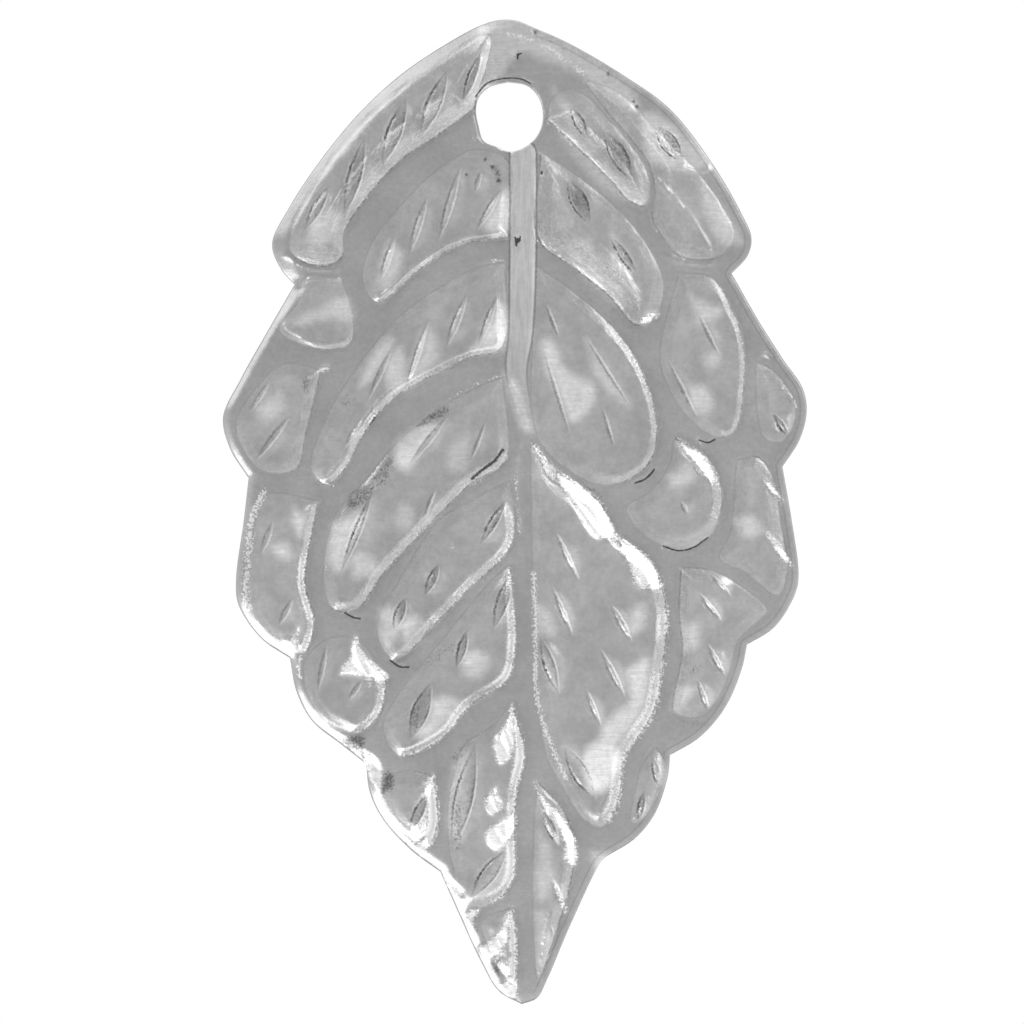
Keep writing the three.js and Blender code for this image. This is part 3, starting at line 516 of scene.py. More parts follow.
def smoothLine(drawn, step):
    # A centripetal curve through points, as points one step apart, without its last point.
    points = [np.array(p, float) for p in drawn]
    points = [2 * points[0] - points[1], *points, 2 * points[-1] - points[-2]]
    dense = []
    for before, a, b, after in zip(points, points[1:], points[2:], points[3:]):
        gaps = [math.sqrt(np.linalg.norm(q - p)) for p, q in ((before, a), (a, b), (b, after))]
        t0, t1, t2, t3 = np.cumsum([0, *gaps])
        for t in np.linspace(t1, t2, mesh["curveSteps"], endpoint=False):
            a1 = (t1 - t) / (t1 - t0) * before + (t - t0) / (t1 - t0) * a
            a2 = (t2 - t) / (t2 - t1) * a + (t - t1) / (t2 - t1) * b
            a3 = (t3 - t) / (t3 - t2) * b + (t - t2) / (t3 - t2) * after
            b1 = (t2 - t) / (t2 - t0) * a1 + (t - t0) / (t2 - t0) * a2
            b2 = (t3 - t) / (t3 - t1) * a2 + (t - t1) / (t3 - t1) * a3
            dense.append((t2 - t) / (t2 - t1) * b1 + (t - t1) / (t2 - t1) * b2)
    dense = np.array([*dense, points[-2]])
    length = np.concatenate([[0], np.cumsum(np.linalg.norm(np.diff(dense, axis=0), axis=1))])
    count = max(1, round(length[-1] / step))
    places = np.arange(count) * length[-1] / count
    return np.column_stack([np.interp(places, length, dense[:, i]) for i in (0, 1)])


def insideOnLeft(line):
    x, z = line.T
    area = 0.5 * np.sum(x * np.roll(z, -1) - np.roll(x, -1) * z)
    return line[::-1] if area < 0 else line


def nearestMarks(points, marks):
    # For each point: the nearest mark's number and how far away it is.
    tree = kdtree.KDTree(len(marks))
    for i, (x, z) in enumerate(marks):
        tree.insert((x, z, 0), i)
    tree.balance()
    found = [tree.find((x, z, 0)) for x, z in points]
    return np.array([i for _, i, _ in found], int), np.array([distance for _, _, distance in found])


def nearestOnLine(points, line, closed=True):
    # For each point: how far the line is, how far along it the nearest place lies, and whether the point is
    # on its left.
    corner, _ = nearestMarks(points, line)
    last = len(line) - 1
    before = (corner - 1) % len(line) if closed else np.maximum(corner - 1, 0)
    after = (corner + 1) % len(line) if closed else np.minimum(corner + 1, last)
    begins = np.concatenate([[0], np.cumsum(np.linalg.norm(np.diff(line, axis=0), axis=1))])
    distance = np.full(len(points), np.inf)
    along = np.zeros(len(points))
    side = np.zeros(len(points))
    for start, end in ((before, corner), (corner, after)):
        span = line[end] - line[start]
        length = np.linalg.norm(span, axis=1) + hairbreadth
        offset = points - line[start]
        share = np.clip((offset * span).sum(1) / length**2, 0, 1)
        gap = offset - share[:, None] * span
        left = (gap[:, 1] * span[:, 0] - gap[:, 0] * span[:, 1]) / length
        size = np.linalg.norm(gap, axis=1)
        both = np.where(size < distance + hairbreadth, side + left, side)
        side = np.where(size < distance - hairbreadth, left, both)
        along = np.where(size < distance, begins[start] + share * length, along)
        distance = np.minimum(distance, size)
    return distance, along, side > 0


def fromOpenLine(points, line):
    return nearestOnLine(points, line, closed=False)[0]


def nearBox(points, line, reach):
    return np.flatnonzero(np.all((points > line.min(0) - reach) & (points < line.max(0) + reach), axis=1))


def depthInside(points, line):
    # How far each point lies inside a closed line, negative outside it. Far points only get a rough value.
    near = nearBox(points, line, farAway)
    depth = np.full(len(points), -farAway)
    distance, _, inside = nearestOnLine(points[near], line)
    depth[near] = np.where(inside, distance, -distance)
    return depth


def outwardWays(line):
    along = np.roll(line, -1, axis=0) - np.roll(line, 1, axis=0)
    outwards = np.column_stack([along[:, 1], -along[:, 0]])
    return outwards / np.linalg.norm(outwards, axis=1)[:, None]


def insetLine(line, inset):
    moved = line - inset * outwardWays(line)
    return moved[depthInside(moved, line) * np.sign(inset) > 0.9 * abs(inset)]


def ease(share):
    share = np.clip(share, 0, 1)
    return share * share * (3 - 2 * share)


def softRamp(place, width, radius):
    # A straight slope from 0 to 1 over the width, rounded where it starts and ends.
    return 0.5 * (np.hypot(place, radius) - np.hypot(place - width, radius) + width) / width


def hump(distance, width):
    return np.exp(-((distance / width) ** 2))


def softNoise(points, size, seed):
    return np.array([noise.noise(Vector((x / size, z / size, seed))) for x, z in points])


print("Drawing the lines")
square = 0.1
drawnEdge = np.concatenate([smoothLine([*lobe, after[0]], mesh["edgeStep"] / square)
                            for lobe, after in zip(lobes, lobes[1:] + lobes[:1])])
drawnLow, drawnHigh = drawnEdge.min(0), drawnEdge.max(0)


def onLeaf(points):
    # Drawn squares to millimetres in the plane of the sheet: across is X, and down is -Z.
    share = (np.array(points, float) - drawnLow) / (drawnHigh - drawnLow)
    x = leafLow[0] + share[:, 0] * (leafHigh[0] - leafLow[0])
    z = leafHigh[2] - share[:, 1] * (leafHigh[2] - leafLow[2])
    return np.column_stack([x, z])


def placedLine(drawn, step):
    return onLeaf(smoothLine(drawn, step / square))


def closedLine(drawn, step):
    return insideOnLeft(placedLine([*drawn, drawn[0]], step))


def placedPatches(patches):
    return [(amount, closedLine(outline, mesh["markStep"])) for amount, outline in patches]


edgeLine = insideOnLeft(onLeaf(drawnEdge))
holeLine = closedLine(holeOutline, mesh["edgeStep"])
leafletLines = {name: closedLine(foot, mesh["rowStep"]) for name, foot in leaflets.items()}
midribLine = placedLine(midrib, mesh["rowStep"])
barbLines = [(kind, onLeaf(ends), width * square) for kind, rows in barbs.items() for *ends, width in rows]
trimLines = [(brightness, width * square, placedLine(trim, mesh["markStep"]))
             for brightness, width, trim in trims]
nickLines = [(width, placedLine(nick, mesh["markStep"])) for width, nick in nicks]
ridgeLines = [placedLine(ridge, mesh["markStep"]) for ridge in ridges]
facetLines, paintedSheenLines, paintedShadeAndTarnishLines = (placedPatches(patches) for patches in (facets, paintedSheenPatches, paintedShadeAndTarnishPatches))
sheetThickness = 2 * leafHigh[1]


def barbRight(ends):
    # The way across a barb to its right.
    span = ends[1] - ends[0]
    right = np.array([span[1], -span[0]]) / np.linalg.norm(span)
    return right * np.sign(right[0])


def barbFrame(points, ends):
    # The share of a barb's length that each point lies at, and how far it lies to the barb's right.
    span = ends[1] - ends[0]
    return ((points - ends[0]) @ span) / (span @ span), (points - ends[0]) @ barbRight(ends)


def barbShape(points, ends, width, kind):
    # The height of one barb, how far each point lies from its dark and its bright side, and how much of its
    # painted crack shade, ridge highlight, face shade and flank sheen it has there.
    made = barbKinds[kind]
    share, aside = barbFrame(points, ends)
    taper = np.sin(np.pi * np.clip(share, 0, 1)) ** barbForm["taper"]
    half = width / 2 * taper + tiny
    fade = made["fade"] * taper + tiny
    aside = aside + relief["jag"] * softNoise(points, *waves["barb"])
    left, right = aside + half, aside - half
    dark, bright = (left, right) if made["rise"] > 0 else (right, left)
    steepSide = softRamp(left, min(barbForm["sideWidth"], 0.5 * width), barbForm["sideRadius"])
    crack = hump(left + barbForm["crackAside"], barbForm["crackWidth"])
    low = barbForm["lowShare"]
    slanted = low + (1 - low) * np.clip(left / (2 * half), 0, 1)
    height = made["rise"] * steepSide * slanted * (1 - ease(right / fade)) - made["crack"] * crack
    inBarb = (share > 0) & (share < 1) & (left > -barbForm["reach"]) & (right < fade)
    face = (left > 0) & (right < 0)
    flank = (right > 0) * (1 - np.clip(right / fade, 0, 1))
    amounts = (height, made["dark"], made["bright"], made["paintedFaceShade"] * face, made["paintedFlankSheen"] * flank)
    height, *shares = (np.where(inBarb, amount * taper, 0) for amount in amounts)
    return height, dark, bright, *shares


def leafletShape(points, name):
    # The height of one leaflet, and how far inside its foot each point lies, how far along it, how far past
    # its crest in widths of the worn band, whether it laps over there, and the crest's wear and painted
    # highlight.
    foot = leafletLines[name]
    lapWay, lapRise, lapWidth, wear, bandWidth = laps[name]
    facing = outwardWays(foot) @ np.array(lapWay)
    inside = depthInside(points, foot) + relief["jag"] * softNoise(points, *waves["foot"])
    _, along, _ = nearestOnLine(points, foot)
    nearest, _ = nearestMarks(points, foot)
    lapping = ease((facing - relief["lapFacing"]) / relief["lapGrowth"])[nearest]
    _, toLap = nearestMarks(points, foot[facing > relief["lapMiddle"]])
    _, toRest = nearestMarks(points, foot[facing <= relief["lapMiddle"]])
    lowRise = min(relief["lowRise"], lapRise)
    height = lowRise + (lapRise - lowRise) * ease(toRest / (toLap + toRest + tiny))
    width = relief["lowWidth"] + (lapWidth - relief["lowWidth"]) * lapping
    pastCrest = inside - width
    pad = height * softRamp(inside, width, relief["creaseRadius"])
    lip = relief["lipRise"] * np.clip((lapRise / lapWidth - relief["lipFrom"]) / relief["lipGrowth"], 0, 1)
    elsewhere = relief["lipElsewhere"]
    pad += lip * (elsewhere + (1 - elsewhere) * lapping) * hump(pastCrest, relief["lipWidth"])
    least, more = relief["dishWidths"]
    pad -= relief["dishShare"] * lapWidth * ease(pastCrest / (least + more * lapWidth))
    wave = relief["wearLevel"] + relief["wearWave"] * softNoise(points, *waves["wear"])
    wear = wear * lapping * np.clip(wave, *relief["wearRange"])
    lapping = lapping * min(1, lapRise / relief["fullLapRise"])
    return pad, inside, along, np.clip(pastCrest / bandWidth, -farBands, farBands), lapping, wear


# What each mask holds where there is no mark.
plainMasks = dict.fromkeys(("along", "lapping", "wear", "crackShare", "ridgeShare", "faceShare", "pit",
                            "paintedGlint", "sheen", "tarnish", "trim", "midribShare"), 0.0)
plainMasks |= dict.fromkeys(("fromCrack", "fromRidge", "fromMidrib", "fromNick", "fromRim"), farAway)
plainMasks |= {"inside": -farAway, "pastCrest": -farBands}


def putWhere(chosen, masks, near, values):
    for name, value in values.items():
        masks[name][near] = np.where(chosen, value, masks[name][near])


def raiseTo(mask, near, value):
    mask[near] = np.maximum(mask[near], value)


def crown(points):
    middle = (edgeLine.min(0) + edgeLine.max(0)) / 2
    reach = (edgeLine.max(0) - edgeLine.min(0)) / 2
    return relief["crownRise"] * ease(1 - (((points - middle) / reach) ** 2).sum(1))


def rimOnSides(points, values):
    # One value for each point, which changes softly from side to side.
    x, z = points.T
    value = values["left"] + (values["upperLeft"] - values["left"]) * ease(z - relief["rimUpperFrom"])
    value += (values["lowerLeft"] - value) * ease(relief["rimLowerFrom"] - z)
    rightness = ease((x - relief["rimRightFrom"]) / relief["rimRightGrowth"])
    return value + (values["right"] - value) * rightness


def pressMidrib(points, height, masks):
    fromMiddle, along, _ = nearestOnLine(points, midribLine, closed=False)
    share = 1 - (along / along.max()) ** 4
    end = relief["midribEndShare"]
    outside = fromMiddle - relief["midribWidth"] / 2 * (end + (1 - end) * share)
    height += relief["midribRise"] * share * ease(-outside / relief["midribSlope"])
    masks["fromMidrib"] = np.clip(outside, -farAway, farAway)
    masks["midribShare"] = share


def pressLeaflets(points, height, masks):
    for name, foot in leafletLines.items():
        near = nearBox(points, foot, relief["leafletReach"])
        pad, *shape = leafletShape(points[near], name)
        raiseTo(height, near, pad)
        shape = dict(zip(("inside", "along", "pastCrest", "lapping", "wear"), shape))
        putWhere(shape["inside"] > masks["inside"][near], masks, near, shape)


def pressBarbs(points, height, masks):
    barbHeight = np.zeros(len(points))
    for kind, ends, width in barbLines:
        near = nearBox(points, ends, farAway)
        barbPart, dark, bright, *shares, paintedFlankSheen = barbShape(points[near], ends, width, kind)
        if barbKinds[kind]["rise"] > 0:
            onPad = ease((masks["inside"][near] - barbForm["footGap"]) / barbForm["footGrowth"])
            barbPart, *shares, paintedFlankSheen = (part * onPad for part in (barbPart, *shares, paintedFlankSheen))
        stronger = np.abs(barbPart) > np.abs(barbHeight[near])
        barbHeight[near] = np.where(stronger, barbPart, barbHeight[near])
        marked = np.abs(masks["fromCrack"][near]) + np.abs(masks["fromRidge"][near])
        nearer = (shares[0] > 0) & (np.abs(dark) + np.abs(bright) < marked)
        shares = dict(zip(("crackShare", "ridgeShare", "faceShare"), shares))
        putWhere(nearer, masks, near, {"fromCrack": dark, "fromRidge": bright, **shares})
        # The barb's flank gets a painted sheen.
        raiseTo(masks["sheen"], near, paintedFlankSheen)
    height += barbHeight


def pressLines(points, height, masks):
    for ridge in ridgeLines:
        height += relief["ridgeRise"] * hump(fromOpenLine(points, ridge), relief["ridgeWidth"])
    for brightness, width, trim in trimLines:
        shown = brightness * np.clip(1 - fromOpenLine(points, trim) / width, 0, 1)
        masks["trim"] = np.maximum(masks["trim"], shown)


def pressFacets(points, height, masks):
    # Each facet brings the face nearer to a plane, and leaves no barb's marks.
    most = relief["facetReach"]
    softness = relief["facetSoftness"]
    for brightness, outline in facetLines:
        near = nearBox(points, outline, softness)
        inside = depthInside(points[near], outline)
        base = np.median(height[near][inside > 0]) - relief["facetDepth"]
        fromMiddle = (points[near] - outline.mean(0)) @ np.array(relief["facetWay"])
        plane = base - relief["facetTilt"] * fromMiddle
        share = ease(0.5 + inside / softness)
        height[near] += np.clip(plane - height[near], -most, most) * share
        # The facet is painted with a highlight.
        raiseTo(masks["paintedGlint"], near, brightness * np.clip(0.5 + inside / (2 * softness), 0, 1))
        for name in ("crackShare", "ridgeShare", "faceShare"):
            masks[name][near] *= 1 - share


def markPatches(points, height, masks):
    # Soft patches of painted sheen, and of painted shade and tarnish; the height stays as it is.
    for name, patches in (("sheen", paintedSheenLines), ("tarnish", paintedShadeAndTarnishLines)):
        softness = relief[name + "Softness"]
        for amount, outline in patches:
            near = nearBox(points, outline, softness)
            raiseTo(masks[name], near, amount * ease(0.5 + depthInside(points[near], outline) / softness))


def pressSwells(points, height, masks):
    # Soft swells, and the seams at the leaflets' feet, which are deepest beside a lap.
    for size, swell in relief["swells"]:
        height += swell * softNoise(points, size, relief["swellSeed"])
    seam = hump(masks["inside"] + relief["seamOutside"], relief["seamWidth"]) * (0.5 + 0.5 * masks["lapping"])
    height -= relief["seamDepth"] * seam * (0.7 + softNoise(points, *waves["seam"]))


def cutNicks(points, height, masks):
    for width, nick in nickLines:
        fromNick = fromOpenLine(points, nick) * (relief["nickWidth"] / width)
        height -= relief["nickDepth"] * hump(relief["nickSteepness"] * fromNick, relief["nickWidth"])
        masks["fromNick"] = np.minimum(masks["fromNick"], fromNick)
    for middle, size in pits:
        fromPit = np.linalg.norm(points - onLeaf([middle])[0], axis=1)
        fromPit += relief["pitJag"] * softNoise(points, *waves["pit"])
        mark = ease(1.5 - 2 * fromPit / size)
        height -= relief["pitShare"] * size * mark
        masks["pit"] = np.maximum(masks["pit"], mark)


def roundEdges(points, height, masks):
    # The rim is pressed down, with a crisp inner line on the right and a soft one on the left.
    x = points[:, 0]
    fromEdge = depthInside(points, edgeLine)
    fromHole = -depthInside(points, holeLine)
    rimWidth, rimDepth = (rimOnSides(points, relief[name]) for name in ("rimWidth", "rimDepth"))
    leftSoft, rightSoft = relief["rimSoftness"]
    soft = np.where(x > relief["rimCrispFrom"], rightSoft, leftSoft) * rimWidth
    fromRim = np.where(x > relief["rimLineFrom"], fromEdge - rimWidth, farAway)
    masks["fromRim"] = np.clip(fromRim, -farAway, farAway)
    rim = 1 - 0.5 * (fromEdge - np.hypot(fromEdge - rimWidth, soft) + np.hypot(rimWidth, soft)) / rimWidth
    height -= rimDepth * np.clip(rim, 0, 1)
    height -= relief["holeRollDepth"] * (1 - np.clip(fromHole / relief["holeRollWidth"], 0, 1)) ** 2


def pressedFront(points):
    # How far the front stands above the sheet's flat front, and the masks that the finish uses.
    height = np.zeros(len(points))
    masks = {name: np.full(len(points), plain) for name, plain in plainMasks.items()}
    for stage in (pressMidrib, pressLeaflets, pressBarbs, pressLines, pressFacets, markPatches, pressSwells,
                  cutNicks, roundEdges):
        stage(points, height, masks)
    highest = 0.99 * (-leafLow[1] - sheetThickness / 2)
    return np.minimum(height + crown(points), highest), masks


def backDepth(points):
    depth = np.zeros(len(points))
    for foot in leafletLines.values():
        inside = depthInside(points, foot) - relief["hollowInset"]
        depth = np.maximum(depth, relief["hollowDepth"] * ease(inside / relief["hollowWidth"]))
    return depth + crown(points)


def keepApart(groups):
    # The groups' points in order of weight, without those that come too near an earlier one.
    kept = []
    cells = {}
    room = mesh["room"]
    for p in np.concatenate(groups):
        column, row = int(p[0] // room), int(p[1] // room)
        around = (cells.get((column + i, row + j)) for i in (-1, 0, 1) for j in (-1, 0, 1))
        if all(q is None or math.hypot(p[0] - q[0], p[1] - q[1]) > room for q in around):
            cells[column, row] = p
            kept.append(p)
    return np.array(kept)


def inSheet(points, room):
    return (depthInside(points, edgeLine) > room) & (depthInside(points, holeLine) < -room)


def gridPoints(spacing):
    rowGap = spacing * math.sqrt(3) / 2
    rows = np.arange(leafLow[2], leafHigh[2], rowGap)
    columns = np.arange(leafLow[0], leafHigh[0], spacing)
    points = np.array([(x + (i % 2) * spacing / 2, z) for i, z in enumerate(rows) for x in columns])
    return points[inSheet(points, mesh["gridRoom"] * mesh["edgeStep"])]


def rowsAlongBarbs():
    rows = []
    for _, ends, width in barbLines:
        span = ends[1] - ends[0]
        shares = np.linspace(0, 1, max(3, round(np.linalg.norm(span) / mesh["rowStep"])))[:, None]
        taper = np.sin(math.pi * shares) ** barbForm["taper"]
        sides = [(-width / 2, mesh["barbLeft"]), (width / 2, mesh["barbRight"])]
        for aside in (side + gap for side, gaps in sides for gap in gaps):
            rows.append(ends[0] + shares * span + barbRight(ends) * aside * taper)
    return rows


def finePoints():
    # A fine grid, where feet, barbs and facets are near.
    points = gridPoints(mesh["fineSpacing"])
    wanted = np.zeros(len(points), bool)
    for foot in leafletLines.values():
        inside = depthInside(points, foot)
        wanted |= (inside > -mesh["fineReach"]) & (inside < mesh["fineReach"] + mesh["fineInside"])
    for _, ends, width in barbLines:
        share, aside = barbFrame(points, ends)
        wanted |= (np.abs(share - 0.5) < 0.55) & (np.abs(aside) < mesh["fineBesideBarb"] + width)
    for _, outline in facetLines:
        wanted |= depthInside(points, outline) > -mesh["fineRoundFacet"]
    return points[wanted]


def frontPoints():
    feet = list(leafletLines.values())
    rows = [insetLine(foot, inset) for inset in mesh["footInsets"] for foot in feet]
    rims = [insetLine(edgeLine, inset) for inset in mesh["rimInsets"]]
    holeRings = [insetLine(holeLine, -inset) for inset in mesh["holeInsets"]]
    facetRows = [insetLine(outline, inset) for inset in mesh["facetInsets"] for _, outline in facetLines]
    nickRows = [nick for _, nick in nickLines]
    marks = np.concatenate([*nickRows, *ridgeLines, *feet, *rows, *rims, *holeRings, *rowsAlongBarbs(),
                            *facetRows])
    marks = marks[inSheet(marks, mesh["room"])]
    inner = keepApart([marks, finePoints(), gridPoints(mesh["floorSpacing"])])
    return np.concatenate([edgeLine, holeLine, inner])


def ringEdges(first, count):
    return [(first + i, first + (i + 1) % count) for i in range(count)]


def triangulate(points):
    rims = ringEdges(0, len(edgeLine)) + ringEdges(len(edgeLine), len(holeLine))
    tolerance = 1e-7
    corners = [Vector(p) for p in points]
    placed, _, faces, *_ = geometry.delaunay_2d_cdt(corners, rims, [], 1, tolerance, False)
    if len(placed) != len(points):
        raise ValueError("the triangulation merged some points")
    faces = np.array(faces)
    middles = np.array([tuple(p) for p in placed])[faces].mean(1)
    return faces[inSheet(middles, 0)]


def makeLeaf():
    print("Spreading the points of the front")
    front = frontPoints()
    back = np.concatenate([edgeLine, holeLine, gridPoints(mesh["backSpacing"])])
    print("Pressing the relief:", len(front), "points in front,", len(back), "behind")
    height, masks = pressedFront(front)
    frontAt = np.column_stack([front[:, 0], -sheetThickness / 2 - height, front[:, 1]])
    backAt = np.column_stack([back[:, 0], sheetThickness / 2 - backDepth(back), back[:, 1]])
    walls = []
    for a, b in ringEdges(0, len(edgeLine)) + ringEdges(len(edgeLine), len(holeLine)):
        walls += [(b, a, len(front) + a), (b, len(front) + a, len(front) + b)]
    faces = np.concatenate([triangulate(front), triangulate(back)[:, ::-1] + len(front), np.array(walls)])
    data = bpy.data.meshes.new("leaf_plate")
    data.from_pydata((np.concatenate([frontAt, backAt]) * millimetre).tolist(), [], faces.tolist())
    data.update()
    data.shade_smooth()
    for name, mask in masks.items():
        layer = data.attributes.new(name, "FLOAT", "POINT")
        values = np.concatenate([mask, np.full(len(back), plainMasks[name])])
        layer.data.foreach_set("value", values.astype(np.float32))
    piece = bpy.data.objects.new("leaf_plate", data)
    bpy.context.scene.collection.objects.link(piece)
    print("Leaf made of", len(data.polygons), "faces")
    return piece


leafPlate = makeLeaf()


def addNode(tree, kind, settings=None, inputs=None):
    # Adds a node, and fills its inputs with values or with links from other sockets.
    node = tree.nodes.new("ShaderNode" + kind)
    for name, value in (settings or {}).items():
        setattr(node, name, value)
    for name, value in (inputs or {}).items():
        if isinstance(value, bpy.types.NodeSocket):
            tree.links.new(value, node.inputs[name])
        else:
            node.inputs[name].default_value = value
    return node


def maths(tree, operation, first, second=0.0, third=0.0):
    return addNode(tree, "Math", {"operation": operation}, {0: first, 1: second, 2: third}).outputs[0]


def mixed(tree, share, first, second):
    # Counted from nought, a Mix node's two colours are its inputs 6 and 7, and its colour output is 2.
    return addNode(tree, "Mix", {"data_type": "RGBA"}, {0: share, 6: first, 7: second}).outputs[2]


def grey(value):
    return (value, value, value, 1)


def noiseIn(tree, place, scale, detail, roughness=0.5):
    inputs = {"Vector": place, "Scale": scale, "Detail": detail, "Roughness": roughness}
    return addNode(tree, "TexNoise", None, inputs).outputs[0]


def newMaterial(name):
    material = bpy.data.materials.new(name)
    material.use_nodes = True
    return material, material.node_tree, material.node_tree.nodes["Principled BSDF"]


# The plating. Its scales are per millimetre, and its widths and heights are in millimetres.
finish = {
    "colour": 0.43,
    # The colour of the worn crests and their painted highlight.
    "wearAndHighlight": 0.82,
    # The colour of the painted highlights on facets and barb ridges.
    "paintedHighlight": 0.97,
    # The colour of the painted shade and tarnish.
    "tarnish": 0.05,
    "roughness": 0.25,
    "cloudScale": 0.9,
    "cloudStrength": 0.3,
    "mottleScale": 2.6,
    "mottleStrength": 0.42,
    "grainScale": 9.0,
    "grainStrength": 0.3,
    "grainHeight": 0.004,
    "speckScale": 20.0,
    "speckStrength": 0.45,
    "speckHeight": 0.006,
    "streaksAlong": 3.0,
    "streaksAcross": 16.0,
    "streakStrength": 0.6,
    "streakHeight": 0.008,
    "hairsAlong": 24.0,
    "hairsAcross": 6.0,
    "facetHairs": 0.4,
    "scratchTurn": 0.7,
    "scratchScale": (2.0, 2.0, 26.0),
    "scratchStrength": 0.06,
    "drawnScale": (14.0, 1.0, 1.5),  # the midrib's lengthwise marks
    "scratchRange": (0.5, 0.72),  # of its noise, from nothing to full, as the other ranges
    "scratchPatches": (0.4, 0.6),
    "slopeFoot": (-0.12, 0.0),  # where a slope's look starts and is full, from the foot
    "slopeCrest": (1.0, 0.1),  # and where it ends, in worn bands from the crest
    "groundEdge": (0.02, -0.04),
    "besideLap": (-0.2, 0.0),
    "groundShade": 0.12,
    "lapShade": 0.12,
    "faceShade": 0.6,
    "paintedSheenGain": 0.5,
    "midribPaintedSheen": 0.38,
    "wearAndHighlightShare": 0.85,
    "wornWaver": 1.5,
    "wornFrom": (-1.1, -0.9),  # in worn bands from the crest
    "wornTo": (0.2, 0.0),
    "wornRange": (0.6, 0.7),
    "trimRange": (0.65, 0.75),
    "facetWaver": 1.5,
    "facetRange": (0.42, 0.66),
    "facetHairRange": (0.5, 0.62),
    "ridgeShare": 0.9,
    "ridgeWidth": 0.03,
    "ridgeWaver": 0.06,
    "paintedShadeAndTarnishShare": 0.75,
    "paintedShadeAndTarnishWaver": 2.4,
    "paintedShadeAndTarnishRange": (0.5, 1.3),
    "seamWidth": 0.03,
    "seamShare": 0.7,
    "seamWaver": 0.08,
    "seamRange": (0.35, 0.6),
    "midribLineShare": 0.45,
    "rimLineShare": 0.2,
    "rimWidth": 0.03,
    "rimWaver": 0.06,
    "crackWidth": 0.034,
    "crackWaver": 0.1,
    "crackRange": (0.3, 0.55),
    "farCrackAside": 0.035,
    "farCrackRange": (0.35, 0.6),
    "nickWidth": 0.03,
    "nickShare": 0.95,
    "nickWaver": 0.04,
    "pitShare": 0.9,
}


